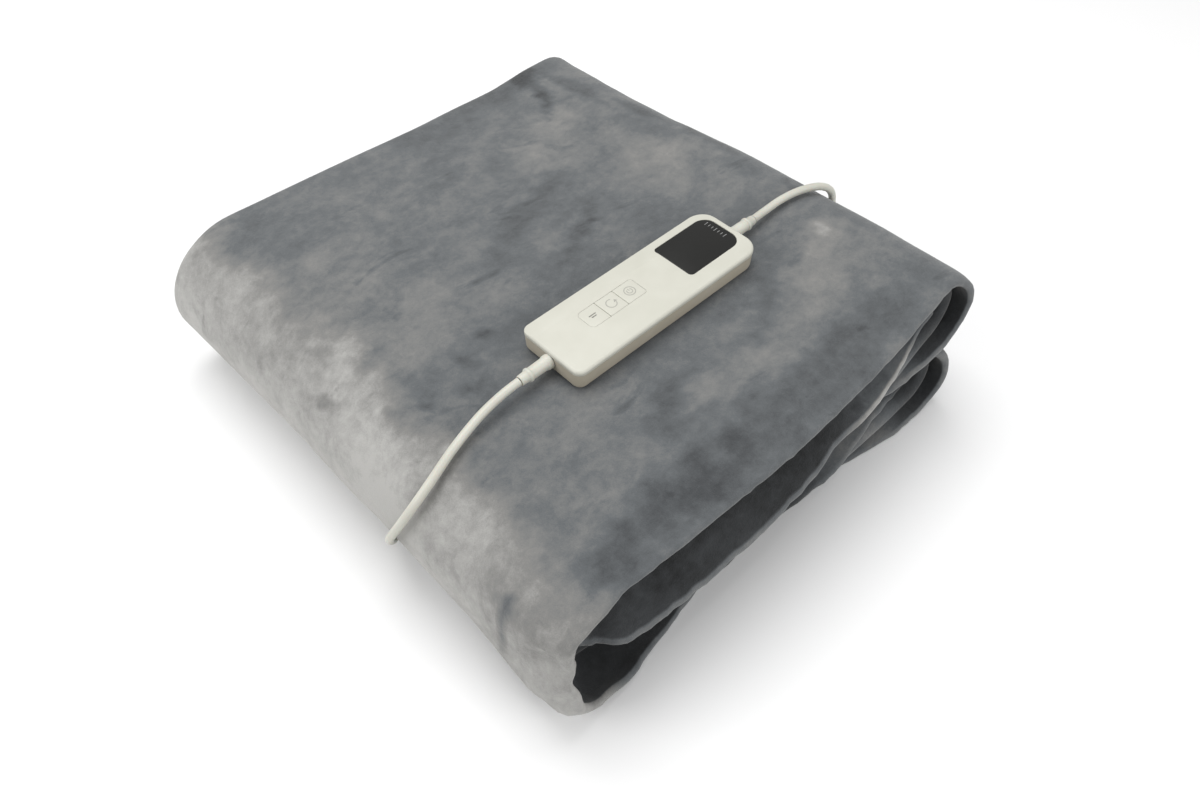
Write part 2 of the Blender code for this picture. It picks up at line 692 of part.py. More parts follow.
def main():
    """Build every piece."""
    clear_scene()
    collection = new_collection("electric_heated_blanket")
    cutters = new_collection("cutters")
    mats = {
        "plush": material("plush", (0.16, 0.165, 0.172), 0.95),
        "shell": material("shell", (0.80, 0.79, 0.73), 0.42),
        "shell_side": material("shell_side", (0.62, 0.59, 0.50), 0.45),
        "window": material("window", (0.012, 0.012, 0.012), 0.12),
        "key": material("key", (0.78, 0.77, 0.71), 0.50),
        "cord": material("cord", (0.82, 0.81, 0.77), 0.48),
        "tie": material("tie", (0.10, 0.10, 0.10), 0.80),
        "pin": material("pin", (0.70, 0.70, 0.68), 0.25, 1.0),
    }
    build_blanket(collection, mats["plush"])
    build_handset(collection, cutters, mats)
    build_cords(collection, mats)


main()
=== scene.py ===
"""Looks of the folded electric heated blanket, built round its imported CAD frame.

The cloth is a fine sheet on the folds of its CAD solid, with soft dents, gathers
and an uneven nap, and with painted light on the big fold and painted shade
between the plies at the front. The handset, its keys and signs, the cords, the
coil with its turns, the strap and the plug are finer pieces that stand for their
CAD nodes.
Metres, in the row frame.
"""

import math

import bmesh
import bpy
import numpy as np
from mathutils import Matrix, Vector, noise


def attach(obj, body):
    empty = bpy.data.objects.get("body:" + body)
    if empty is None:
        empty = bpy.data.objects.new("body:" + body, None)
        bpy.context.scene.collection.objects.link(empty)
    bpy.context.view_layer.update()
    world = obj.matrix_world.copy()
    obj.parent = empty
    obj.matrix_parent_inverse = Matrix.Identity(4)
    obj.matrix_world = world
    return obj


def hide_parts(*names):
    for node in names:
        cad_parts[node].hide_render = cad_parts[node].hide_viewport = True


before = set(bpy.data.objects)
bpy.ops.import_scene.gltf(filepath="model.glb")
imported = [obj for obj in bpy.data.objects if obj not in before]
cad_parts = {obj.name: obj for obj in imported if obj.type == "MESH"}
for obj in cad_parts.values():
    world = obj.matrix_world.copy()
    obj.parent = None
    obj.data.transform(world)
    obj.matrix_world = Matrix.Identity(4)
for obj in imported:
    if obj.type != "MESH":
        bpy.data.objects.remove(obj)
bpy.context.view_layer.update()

ROOT = "root"

# ---------------------------------------------------------------- dimensions
# Cloth: the folds repeat those of the CAD solid.
PLY = 0.0055
PLY_GAP = 0.0013
LEVEL_GAP = 0.0018
PITCH = PLY + PLY_GAP
GROUP = 4 * PLY + 3 * PLY_GAP
LEVEL_PITCH = GROUP + LEVEL_GAP
STACK = 3 * LEVEL_PITCH + GROUP
LEVEL_Z = {name: GROUP / 2 + k * LEVEL_PITCH
           for k, name in enumerate(("bottom", "third", "second", "top"))}
UPPER_LOOP_X = 0.1580
LOWER_LOOP_X = 0.1560
BIG_FOLD_X = -0.1310
BIG_FOLD_REACH = 0.0370
FREE_ENDS_X = (-0.1380, -0.1280)     # of the second and the third level
DROOP_FROM = -0.1480
DROOP_TO = -0.1850

EDGE_COLUMNS = ("part", "x", "outer", "middle", "inner", "back_outer", "back_inner", "drop",
                "curl")
EDGE_TABLE = (
    ("second", -0.138, -0.158, -0.163, -0.168, 0.188, 0.185, 0.042, 0.000),
    ("second", -0.130, -0.161, -0.168, -0.175, 0.188, 0.185, 0.048, 0.000),
    ("second", -0.118, -0.163, -0.171, -0.180, 0.188, 0.185, 0.044, 0.000),
    ("second", -0.095, -0.164, -0.173, -0.184, 0.189, 0.186, 0.039, 0.000),
    ("second", -0.020, -0.165, -0.174, -0.185, 0.189, 0.186, 0.040, 0.000),
    ("second", 0.030, -0.165, -0.173, -0.183, 0.189, 0.186, 0.037, 0.000),
    ("second", 0.060, -0.164, -0.171, -0.178, 0.189, 0.186, 0.033, 0.000),
    ("second", 0.085, -0.165, -0.172, -0.180, 0.188, 0.186, 0.034, 0.000),
    ("second", 0.118, -0.177, -0.176, -0.178, 0.187, 0.185, 0.014, 0.000),
    ("second", 0.142, -0.183, -0.174, -0.170, 0.187, 0.185, 0.002, 0.000),
    ("second", 0.158, -0.183, -0.173, -0.168, 0.186, 0.184, 0.001, 0.001),
    ("upper loop", 0.190, -0.183, -0.170, -0.164, 0.188, 0.186, 0.000, 0.004),
    ("top", 0.158, -0.174, -0.165, -0.160, 0.187, 0.185, 0.001, 0.001),
    ("top", 0.100, -0.180, -0.171, -0.164, 0.187, 0.185, 0.004, 0.000),
    ("top", 0.000, -0.185, -0.171, -0.163, 0.189, 0.187, 0.005, 0.000),
    ("top", -0.070, -0.183, -0.168, -0.160, 0.193, 0.191, 0.004, 0.000),
    ("top", -0.131, -0.180, -0.159, -0.155, 0.198, 0.195, 0.001, 0.003),
    ("big fold", -0.150, -0.184, -0.152, -0.149, 0.202, 0.199, 0.000, 0.009),
    ("big fold", -0.190, -0.188, -0.150, -0.147, 0.205, 0.202, 0.000, 0.014),
    ("bottom", -0.131, -0.187, -0.156, -0.153, 0.200, 0.197, 0.000, 0.008),
    ("bottom", -0.095, -0.179, -0.168, -0.168, 0.197, 0.194, 0.003, 0.001),
    ("bottom", -0.060, -0.173, -0.176, -0.179, 0.195, 0.192, 0.006, 0.000),
    ("bottom", 0.000, -0.170, -0.173, -0.177, 0.193, 0.190, 0.008, 0.000),
    ("bottom", 0.060, -0.173, -0.177, -0.182, 0.192, 0.189, 0.009, 0.000),
    ("bottom", 0.125, -0.186, -0.178, -0.172, 0.190, 0.187, 0.004, 0.000),
    ("bottom", 0.156, -0.187, -0.177, -0.170, 0.188, 0.186, 0.001, 0.001),
    ("lower loop", 0.190, -0.187, -0.175, -0.168, 0.187, 0.185, 0.000, 0.004),
    ("third", 0.156, -0.178, -0.170, -0.165, 0.187, 0.185, 0.001, 0.002),
    ("third", 0.146, -0.146, -0.145, -0.144, 0.188, 0.186, 0.000, 0.000),
    ("third", -0.128, -0.146, -0.145, -0.144, 0.188, 0.186, 0.000, 0.000),
)
CURL_LENGTH = 0.024
FLAP_REACH = 0.0120
FLAP_FROM = -0.1520
FOLD_SQUARE = 2.2
LOOP_FLAT = 0.20
FRONT_SAG = -0.0020
RISE_TABLE = (                       # x, and how far the stack's top rises there
    (-0.170, -0.0050),
    (-0.120, -0.0010),
    (-0.068, 0.0016),
    (0.100, 0.0016),
    (0.135, 0.0050),
    (0.185, 0.0065),
)
FLAP_END_X = -0.0980
CREASE_X = -0.1270                   # across the second level's hanging front
CREASE_DEPTH = 0.0045
CREASE_WIDTH = 0.0030
SWAY = 0.0020
DRAWN_IN = 0.0110
GATHER_DEPTH = 0.0011
FINE_GATHER_DEPTH = 0.0007
DIMPLE_DEPTH = 0.0075
DIMPLE_AT = (-0.174, 0.080)          # y and z, on the big fold's front
DIMPLE_SIZE = (0.010, 0.009)
NOSE_POINTS = 5                      # round the hem of each free edge
HANGING_POINTS = 30                  # of the ply that hangs, counted from its hem

# Fineness of the cloth's mesh
STEP_STRAIGHT = 0.0050
STEP_FLAP = 0.0022
STEP_HIDDEN = 0.0075
STEP_LOOP = 0.0030
STEP_FOLD = 0.0040

# Cords
CORD = 0.0052
CORD_STEP = 0.0050                   # between points along a cord
LEAD_ROUTE = (
    (-0.0881, -0.0555, 0.1190),
    (-0.1000, -0.0557, 0.1182),
    (-0.1180, -0.0570, 0.1152),
    (-0.1400, -0.0615, 0.1110),
    (-0.1570, -0.0650, 0.1045),
    (-0.1710, -0.0645, 0.0930),
    (-0.1805, -0.0590, 0.0760),
    (-0.1838, -0.0505, 0.0580),
    (-0.1815, -0.0415, 0.0410),
    (-0.1762, -0.0335, 0.0260),
    (-0.1695, -0.0225, 0.0138),
    (-0.1632, -0.0075, 0.0062),
    (-0.1597, 0.0130, 0.0034),
    (-0.1590, 0.0450, 0.0029),
    (-0.1590, 0.0900, 0.0029),
    (-0.1595, 0.1400, 0.0029),
    (-0.1600, 0.1820, 0.0029),
    (-0.1575, 0.2060, 0.0029),
    (-0.1440, 0.2260, 0.0029),
    (-0.1190, 0.2335, 0.0034),
    (-0.0920, 0.2310, 0.0070),
    (-0.0680, 0.2250, 0.0135),
    (-0.0510, 0.2150, 0.0205),
    (-0.0425, 0.2035, 0.0248),
    (-0.0400, 0.1965, 0.0260),
)
MAINS_ROUTE = (
    (0.1111, -0.0555, 0.1190),
    (0.1250, -0.0550, 0.1188),
    (0.1400, -0.0550, 0.1188),
    (0.1550, -0.0575, 0.1190),
    (0.1690, -0.0620, 0.1178),
    (0.1800, -0.0645, 0.1118),
    (0.1875, -0.0648, 0.1010),
    (0.1915, -0.0625, 0.0855),
    (0.1930, -0.0565, 0.0650),
    (0.1935, -0.0460, 0.0420),
    (0.1945, -0.0335, 0.0225),
    (0.1960, -0.0160, 0.0095),
    (0.1970, 0.0050, 0.0050),
    (0.1975, 0.0255, 0.0041),
)
COIL_CENTRE = (0.2281, 0.0450)
COIL_RADIUS = 0.0280
COIL_LAYERS = 4
COIL_FLOOR = 0.0013
TAIL_ROUTE = (
    (0.1975, 0.0650, 0.0190),
    (0.1976, 0.0760, 0.0168),
    (0.1980, 0.0930, 0.0112),
    (0.1988, 0.1110, 0.0072),
    (0.1998, 0.1260, 0.0070),
    (0.2002, 0.1375, 0.0072),
)

# Handset
GAP = 0.0001
HANDSET_X = (-0.0655, 0.0885)
HANDSET_Y = (-0.0805, -0.0305)
HANDSET_FLOOR = 0.1115
HANDSET_TOP = 0.1265
BASE_HEIGHT = 0.0112
NEAR_CORNER = 0.0060
FAR_CORNER = 0.0120
FACET_WIDTH = 0.0115
FACET_DROP = 0.0014
WINDOW_X = (0.0370, 0.0840)
WINDOW_Y = (-0.0690, -0.0365)
WINDOW_CORNERS = (0.0030, 0.0090)    # radii at the near and the far end
WINDOW_DEPTH = 0.0012
WELL_CORNERS = (0.0035, 0.0020)
KEYS_X = (-0.0355, 0.0090)
KEYS_Y = (-0.0600, -0.0450)
KEY_SPLITS = (-0.0210, -0.0065)
KEY_DEPTH = 0.0022
KEY_PROUD = 0.0002
KEY_TRAVEL = 0.0006
INK = 0.00005                        # thickness of the printed signs
CORD_AXIS = (-0.0555, 0.1190)        # y and z of the cords where they leave the handset
RELIEF_LENGTH = 0.0220
RELIEF_RADII = (0.0046, 0.0034)

# Strap and plug
COIL_TOP = COIL_FLOOR + COIL_LAYERS * CORD
TIE_WIDTH = 0.0100
TIE_THICKNESS = 0.0010
PLUG_AXIS = (0.2003, 0.0072)
PLUG_START = 0.1378
PLUG_RELIEF_LENGTH = 0.0160
PLUG_LENGTH = 0.0355
PLUG_WIDTHS = (0.0200, 0.0355)
PLUG_THICKNESS = 0.0137
PIN_SPACING = 0.0186
PIN_RADIUS = 0.0020
PIN_LENGTH = 0.0190

# Where a hand has brushed the nap: x, y, direction in degrees, length, width, lightness
STROKE_TABLE = (
    (-0.160, -0.010, 65.0, 0.220, 0.030, 0.16),
    (-0.165, -0.130, 80.0, 0.120, 0.030, 0.10),
    (-0.176, -0.142, 20.0, 0.012, 0.008, -0.42),
    (-0.074, -0.006, 40.0, 0.010, 0.008, -0.30),
    (-0.094, -0.016, 100.0, 0.010, 0.006, -0.26),
    (-0.107, -0.034, 10.0, 0.009, 0.006, -0.30),
    (-0.131, -0.027, 50.0, 0.016, 0.006, -0.24),
    (-0.166, 0.030, 110.0, 0.022, 0.006, -0.26),
    (-0.150, 0.060, 140.0, 0.016, 0.006, -0.22),
    (0.080, 0.180, 0.0, 0.190, 0.034, -0.12),
    (0.119, 0.185, 80.0, 0.060, 0.020, -0.34),
    (0.112, 0.150, 60.0, 0.050, 0.010, -0.26),
    (0.135, 0.140, 95.0, 0.060, 0.012, -0.20),
    (0.150, 0.090, 100.0, 0.050, 0.010, -0.20),
    (0.163, 0.030, 95.0, 0.050, 0.009, -0.24),
    (0.166, 0.050, 110.0, 0.020, 0.008, -0.20),
    (0.070, 0.110, 20.0, 0.080, 0.030, 0.12),
    (0.120, 0.060, 120.0, 0.070, 0.030, 0.12),
    (0.020, 0.060, 20.0, 0.110, 0.016, -0.14),
    (0.030, 0.020, 30.0, 0.060, 0.010, -0.16),
    (0.120, -0.110, 40.0, 0.090, 0.030, 0.10),
    (0.142, -0.090, 60.0, 0.018, 0.010, 0.22),
    (0.135, -0.060, 100.0, 0.200, 0.060, 0.07),
    (0.020, -0.130, 10.0, 0.060, 0.020, 0.12),
    (-0.020, -0.125, 15.0, 0.040, 0.016, 0.14),
    (0.040, -0.166, 3.0, 0.260, 0.036, -0.16),
    (-0.080, -0.165, 3.0, 0.140, 0.032, -0.15),
    (-0.090, 0.040, 60.0, 0.100, 0.050, 0.10),
    (-0.080, 0.110, 45.0, 0.070, 0.040, 0.06),
    (-0.040, -0.120, 40.0, 0.060, 0.020, -0.14),
    (0.060, -0.110, 30.0, 0.070, 0.014, -0.14),
)

# Painted light and shade in the nap: how much lighter it is painted on the big fold, low on it
# and near the lips between the plies, and how much painted shade near the front of the fold,
# between plies, on the hanging ply and in its crease
PAINTED_LIGHT_ON_FOLD = 0.38
PAINTED_LIGHT_LOW_ON_FOLD = 0.18
PAINTED_SHADE_FOLD_FRONT = 0.20
PAINTED_SHADE_BETWEEN_PLIES = 0.52
PAINTED_LIGHT_ON_SHELF = 0.56
PAINTED_SHADE_HANGING = 0.32
PAINTED_LIGHT_AT_LIP = 0.34
PAINTED_SHADE_IN_CREASE = 0.40

# Camera
CAMERA_AT = (-0.2914, -0.3330, 0.5191)
CAMERA_AZIMUTH = -43.7375
CAMERA_ELEVATION = 50.6593
CAMERA_LENS = 28.46

# ------------------------------------------------------------------- helpers


def smooth_step(u):
    """0 to 1 with level ends."""
    u = np.clip(u, 0.0, 1.0)
    return u * u * (3.0 - 2.0 * u)


def smooth_curve(points, step):
    """Points a step apart along a Catmull-Rom curve through the given ones."""
    pts = [Vector(p) for p in points]
    pts = [2 * pts[0] - pts[1]] + pts + [2 * pts[-1] - pts[-2]]
    dense = []
    for a, b, c, d in zip(pts, pts[1:], pts[2:], pts[3:]):
        for k in range(24):
            t = k / 24
            dense.append(0.5 * (2 * b + (c - a) * t + (2 * a - 5 * b + 4 * c - d) * t * t
                                + (3 * b - a - 3 * c + d) * t ** 3))
    dense.append(pts[-2].copy())
    lengths = np.concatenate([[0.0], np.cumsum([(q - p).length for p, q in zip(dense, dense[1:])])])
    count = max(2, round(lengths[-1] / step))
    marks = np.linspace(0.0, lengths[-1], count + 1)
    xyz = np.array(dense)
    return [tuple(np.interp(m, lengths, xyz[:, k]) for k in range(3)) for m in marks]


def linked(name, data):
    """A new object, linked into the scene."""
    obj = bpy.data.objects.new(name, data)
    bpy.context.scene.collection.objects.link(obj)
    return obj


def add_piece(name, data, mat, body=ROOT, replaces=()):
    """An object tied to its body and the CAD nodes it stands for."""
    data.materials.append(mat)
    obj = linked(name, data)
    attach(obj, body)
    if replaces:
        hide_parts(*replaces)
    return obj


def mesh_from_bmesh(name, bm, smooth_angle=35.0):
    """Turn a bmesh into smooth-shaded mesh data with its faces pointing out."""
    bmesh.ops.recalc_face_normals(bm, faces=bm.faces)
    mesh = bpy.data.meshes.new(name)
    bm.to_mesh(mesh)
    bm.free()
    mesh.shade_smooth()
    if smooth_angle is not None:
        mesh.set_sharp_from_angle(angle=math.radians(smooth_angle))
    return mesh


def bridge(bm, rings, capped=True):
    """Faces between each two rings of vertices, and over both ends."""
    for a, b in zip(rings, rings[1:]):
        for k in range(len(a)):
            m = (k + 1) % len(a)
            bm.faces.new((a[k], a[m], b[m], b[k]))
    if capped:
        bm.faces.new(rings[0])
        bm.faces.new(rings[-1])


# ----------------------------------------------------------------- materials


class Nodes:
    """Short calls for building one material's node tree."""

    def __init__(self, name):
        self.material = bpy.data.materials.new(name)
        self.material.use_nodes = True
        self.tree = self.material.node_tree
        self.shader = self.tree.nodes["Principled BSDF"]

    def add(self, kind, values=None, **settings):
        """A node with its settings, and its inputs set or linked."""
        node = self.tree.nodes.new(kind)
        for key, value in settings.items():
            setattr(node, key, value)
        for key, value in (values or {}).items():
            self.feed(node.inputs[key], value)
        return node

    def feed(self, socket, value):
        """Link a socket, or set its value."""
        if isinstance(value, bpy.types.NodeSocket):
            self.tree.links.new(value, socket)
        else:
            socket.default_value = value

    def set(self, **values):
        """Set or link the shader's inputs by name, with _ for a space."""
        for key, value in values.items():
            self.feed(self.shader.inputs[key.replace("_", " ")], value)

    def place(self, scale=(1, 1, 1), turn=0.0):
        """Object coordinates, scaled, and turned about Z."""
        coords = self.add("ShaderNodeTexCoord")
        mapping = self.add("ShaderNodeMapping", {"Vector": coords.outputs["Object"], "Scale": scale,
                                                 "Rotation": (0, 0, turn)})
        return mapping.outputs["Vector"]

    def noise(self, vector, scale, detail=3.0, roughness=0.5, distortion=0.0):
        """Noise in about 0 to 1."""
        node = self.add("ShaderNodeTexNoise", {"Vector": vector, "Scale": scale, "Detail": detail,
                                               "Roughness": roughness, "Distortion": distortion})
        return node.outputs["Fac"]

    def ramp(self, fac, *stops):
        """A colour ramp through (position, colour) stops."""
        node = self.add("ShaderNodeValToRGB", {"Fac": fac})
        elements = node.color_ramp.elements
        while len(elements) < len(stops):
            elements.new(0.5)
        for element, (position, color) in zip(elements, stops):
            element.position = position
            element.color = (*color, 1.0) if len(color) == 3 else color
        return node.outputs["Color"]

    def math(self, operation, a, b=0.0, c=0.0):
        """One math node."""
        node = self.add("ShaderNodeMath", {0: a, 1: b, 2: c}, operation=operation)
        return node.outputs[0]

    def bump(self, height, strength, distance):
        """A bump node on a height."""
        values = {"Height": height, "Strength": strength, "Distance": distance}
        return self.add("ShaderNodeBump", values).outputs["Normal"]


def plush_material():
    """Grey plush: brushed patches of nap, mottling, a fine pile, and painted light and shade."""
    n = Nodes("plush")
    where = n.place()
    along = n.place(scale=(0.85, 1.35, 1.1), turn=0.6)
    nap = n.add("ShaderNodeAttribute", attribute_name="nap").outputs["Fac"]
    clouds = n.noise(along, 12.0, 2.0, 0.5, 0.25)
    patches = n.noise(along, 34.0, 6.0, 0.70, 0.30)
    tufts = n.noise(where, 120.0, 5.0, 0.70, 0.2)
    pile = n.noise(where, 1500.0, 2.0, 0.7)
    brushed = n.noise(n.place(scale=(0.7, 1.6, 1.0), turn=1.1), 27.0, 3.0, 0.6, 1.0)
    marks = n.math("MULTIPLY", n.math("MAXIMUM", n.math("ADD", brushed, -0.63), 0.0), -1.5)
    tone = n.math("MULTIPLY_ADD", clouds, 0.36, 0.17)
    tone = n.math("MULTIPLY_ADD", patches, 0.54, tone)
    tone = n.math("MULTIPLY_ADD", tufts, 0.42, tone)
    tone = n.math("ADD", tone, marks)
    # The nap attribute brings in the brushed strokes and the painted light and shade from brush()
    tone = n.math("ADD", tone, nap)
    tone = n.math("MULTIPLY_ADD", pile, 0.20, n.math("ADD", tone, -0.56))
    tone = n.math("MULTIPLY_ADD", tone, 0.70, 0.25)
    color = n.ramp(tone, (0.0, (0.018, 0.019, 0.020)), (0.285, (0.058, 0.062, 0.066)),
                   (0.488, (0.110, 0.118, 0.124)), (0.60, (0.160, 0.163, 0.162)),
                   (0.698, (0.200, 0.198, 0.191)), (0.95, (0.40, 0.395, 0.38)))
    height = n.math("MULTIPLY_ADD", tufts, 0.55, n.math("MULTIPLY", pile, 0.30))
    n.set(Base_Color=color, Roughness=0.95, Sheen_Weight=0.35, Sheen_Roughness=0.5,
          Specular_IOR_Level=0.10)
    n.shader.inputs["Sheen Tint"].default_value = (0.80, 0.79, 0.76, 1.0)
    n.set(Normal=n.bump(height, 0.55, 0.0016))
    return n.material


def plastic_material(name, color, shade, roughness, grain=2600.0, grain_depth=0.00004):
    """Moulded plastic with a faint mottle and a fine spark-eroded grain."""
    n = Nodes(name)
    where = n.place()
    mottle = n.noise(where, 60.0, 3.0, 0.5)
    fine = n.noise(where, grain, 2.0, 0.6)
    n.set(Base_Color=n.ramp(mottle, (0.3, shade), (0.7, color)),
          Roughness=n.math("MULTIPLY_ADD", fine, 0.14, roughness - 0.07),
          Specular_IOR_Level=0.5)
    n.set(Normal=n.bump(fine, 0.35, grain_depth))
    return n.material


def window_material():
    """Glossy black window with a hint of dust and fingermarks."""
    n = Nodes("window")
    where = n.place()
    smear = n.noise(where, 120.0, 4.0, 0.6, 0.8)
    dust = n.noise(where, 2400.0, 1.0, 0.5)
    n.set(Base_Color=n.ramp(dust, (0.72, (0.013, 0.013, 0.012)), (0.80, (0.028, 0.028, 0.026))),
          Roughness=n.math("MULTIPLY_ADD", smear, 0.14, 0.16), Specular_IOR_Level=0.28)
    return n.material


def cord_material():
    """Smooth white flexible sheath with a faint wavy sheen."""
    n = Nodes("cord")
    where = n.place()
    mottle = n.noise(where, 45.0, 3.0, 0.5)
    fine = n.noise(where, 900.0, 2.0, 0.5)
    n.set(Base_Color=n.ramp(mottle, (0.3, (0.49, 0.485, 0.425)), (0.7, (0.56, 0.555, 0.49))),
          Roughness=n.math("MULTIPLY_ADD", fine, 0.12, 0.38),
          Subsurface_Weight=0.08, Subsurface_Scale=0.002)
    n.set(Normal=n.bump(fine, 0.25, 0.00008))
    return n.material


def strap_material():
    """Black woven strap."""
    n = Nodes("strap")
    where = n.place()
    weave = n.add("ShaderNodeTexWave", {"Vector": where, "Scale": 520.0, "Distortion": 0.6},
                  wave_type="BANDS", bands_direction="DIAGONAL").outputs["Fac"]
    n.set(Base_Color=n.ramp(weave, (0.2, (0.012, 0.012, 0.013)), (0.8, (0.045, 0.045, 0.048))),
          Roughness=0.85, Sheen_Weight=0.2)
    n.set(Normal=n.bump(weave, 0.6, 0.0003))
    return n.material


def metal_material():
    """Plated pins with fine drawn lines."""
    n = Nodes("pin")
    lines = n.noise(n.place(scale=(1, 0.05, 1)), 900.0, 2.0, 0.6)
    n.set(Base_Color=n.ramp(lines, (0.3, (0.60, 0.59, 0.56)), (0.7, (0.72, 0.71, 0.68))),
          Metallic=1.0, Roughness=n.math("MULTIPLY_ADD", lines, 0.16, 0.16))
    n.set(Normal=n.bump(lines, 0.2, 0.00005))
    return n.material


def print_material(name, low, high, roughness=0.5):
    """Printed ink, a little uneven."""
    n = Nodes(name)
    fleck = n.noise(n.place(), 3000.0, 2.0, 0.6)
    n.set(Base_Color=n.ramp(fleck, (0.3, low), (0.7, high)), Roughness=roughness)
    return n.material


def floor_material():
    """A plain pale floor."""
    n = Nodes("floor")
    n.set(Base_Color=(0.86, 0.86, 0.86, 1.0), Roughness=0.9, Specular_IOR_Level=0.1)
    return n.material


# --------------------------------------------------------------------- cloth


def straight(part, start, end, step, outward):
    """Fine stations along one level: part, x, z and the outward direction."""
    count = max(2, round(abs(end - start) / step))
    return [(part, x, LEVEL_Z[part], 0.0, outward) for x in np.linspace(start, end, count + 1)]


def bend(part, x, z, reach, half_height, start, step):
    """Fine stations round a half ellipse, without its two end points."""
    count = round(math.pi * (reach + half_height) / 2 / step)
    stations = []
    for angle in np.radians(start + 180.0 * np.arange(1, count + 1) / (count + 1)):
        cos, sin = math.cos(angle), math.sin(angle)
        nx, nz = cos * half_height, sin * reach
        size = math.hypot(nx, nz)
        stations.append((part, x + reach * cos, z + half_height * sin, nx / size, nz / size))
    return stations


def fold_path():
    """The whole path that the four-ply section follows, end to end."""
    z = LEVEL_Z
    loop = LEVEL_PITCH / 2
    path = straight("second", FREE_ENDS_X[0], FLAP_END_X, STEP_FLAP, -1.0)
    path += straight("second", FLAP_END_X, UPPER_LOOP_X, STEP_STRAIGHT, -1.0)[1:]
    path += bend("upper loop", UPPER_LOOP_X, (z["second"] + z["top"]) / 2, loop, loop, -90.0,
                 STEP_LOOP)
    path += straight("top", UPPER_LOOP_X, BIG_FOLD_X, STEP_STRAIGHT, 1.0)
    path += bend("big fold", BIG_FOLD_X, (z["top"] + z["bottom"]) / 2, BIG_FOLD_REACH,
                 (z["top"] - z["bottom"]) / 2, 90.0, STEP_FOLD)
    path += straight("bottom", BIG_FOLD_X, LOWER_LOOP_X, STEP_STRAIGHT, -1.0)
    path += bend("lower loop", LOWER_LOOP_X, (z["bottom"] + z["third"]) / 2, loop, loop, -90.0,
                 STEP_LOOP)
    path += straight("third", LOWER_LOOP_X, FREE_ENDS_X[1], STEP_HIDDEN, 1.0)
    return path


def path_lengths(path):
    """Distance along the path to each station."""
    steps = [math.hypot(b[1] - a[1], b[2] - a[2]) for a, b in zip(path, path[1:])]
    return np.concatenate([[0.0], np.cumsum(steps)])


def edge_values(path, lengths):
    """The edge table's values at every station, smoothed a little along the path."""
    marks = []
    for row in EDGE_TABLE:
        stations = [k for k, s in enumerate(path) if s[0] == row[0]]
        xs = np.array([path[k][1] for k in stations])
        order = np.argsort(xs)
        marks.append(np.interp(row[1], xs[order], lengths[stations][order]))
    values = np.array([row[2:] for row in EDGE_TABLE])
    table = {n: np.interp(lengths, marks, values[:, k]) for k, n in enumerate(EDGE_COLUMNS[2:])}
    for name, column in table.items():
        for _ in range(6):
            column = np.convolve(np.pad(column, 1, mode="edge"), (0.25, 0.5, 0.25), mode="valid")
        table[name] = column
    for k, name in enumerate(("outer", "inner")):
        table[name] += [0.0011 * noise.noise(Vector((60.0 * m, 3.0 + k, 0.0)))
                        + 0.0006 * noise.noise(Vector((190.0 * m, 7.0 + k, 0.0))) for m in lengths]
    wave = [0.0030 * noise.noise(Vector((75.0 * m, 11.0, 0.0))) for m in lengths]
    table["curl"] = table["curl"] * (1.0 + np.array(wave) / 0.010)
    return table


def ply_marks(front, back, fine):
    """y values along one straight ply, close together at the front and the back."""
    hang = max(DROOP_FROM, front + 0.008)
    lip = np.linspace(front, hang, 9)
    shoulder = np.linspace(hang, -0.1250, 5)[1:]
    middle = np.linspace(-0.1250, back - 0.030, 42 if fine else 9)[1:]
    end = np.linspace(back - 0.030, back, 6 if fine else 4)[1:]
    return np.concatenate([lip, shoulder, middle, end])


def turn(centre_y, centre_n, radius, count=7):
    """Centre-line points round a fold of two plies, without its ends."""
    angles = np.radians(90.0 - 180.0 * np.arange(1, count + 1) / (count + 1))
    return [(centre_y + radius * math.cos(a), centre_n + radius * math.sin(a)) for a in angles]


def section_centre_line(edge):
    """The four-ply zigzag as (y, n) points, n being along the outward direction."""
    n = [PITCH * k for k in (1.5, 0.5, -0.5, -1.5)]
    radius = PITCH / 2
    back_1 = edge["back_outer"] - radius
    back_2 = edge["back_inner"] - radius
    front = edge["middle"] + radius
    outer = ply_marks(edge["outer"], back_1, True)
    share = np.clip((edge["outer"] + CURL_LENGTH - outer) / CURL_LENGTH, 0.0, 1.0)
    curled = edge["curl"] * (1.0 - np.sqrt(1.0 - 0.96 * share * share))
    line = [(y, n[0] - c) for y, c in zip(outer, curled)]
    line += turn(back_1, (n[0] + n[1]) / 2, radius)
    line += [(y, n[1]) for y in ply_marks(front, back_1, False)[::-1]]
    line += [(2 * front - y, m) for y, m in turn(front, (n[1] + n[2]) / 2, radius)]
    line += [(y, n[2]) for y in ply_marks(front, back_2, False)]
    line += turn(back_2, (n[2] + n[3]) / 2, radius)
    line += [(y, n[3]) for y in ply_marks(edge["inner"], back_2, False)[::-1]]
    return np.array(line)


def offset_line(line, distance):
    """The line moved sideways by a distance, along its own normals."""
    tangent = np.gradient(line, axis=0)
    tangent /= np.linalg.norm(tangent, axis=1)[:, None]
    return line + distance * np.stack([-tangent[:, 1], tangent[:, 0]], axis=1)


def hem(end, inward, first):
    """The rounded nose of a free edge: points from one side of the ply round to the other."""
    normal = np.array([-inward[1], inward[0]]) * (1.0 if first else -1.0)
    points = []
    for angle in np.radians([-60.0, -25.0, 0.0, 25.0, 60.0]):
        side = angle if first else -angle
        points.append(end - 0.40 * PLY * math.cos(side) * inward
                      + 0.5 * PLY * math.sin(side) * normal)
    return np.array(points)


def section_ring(edge):
    """The closed outline of the zigzag, with a rounded hem at both free edges."""
    line = section_centre_line(edge)
    upper = offset_line(line, PLY / 2)
    lower = offset_line(line, -PLY / 2)
    first = (line[1] - line[0]) / np.linalg.norm(line[1] - line[0])
    last = (line[-2] - line[-1]) / np.linalg.norm(line[-2] - line[-1])
    return np.concatenate([upper, hem(line[-1], last, False), lower[::-1],
                           hem(line[0], first, True)])


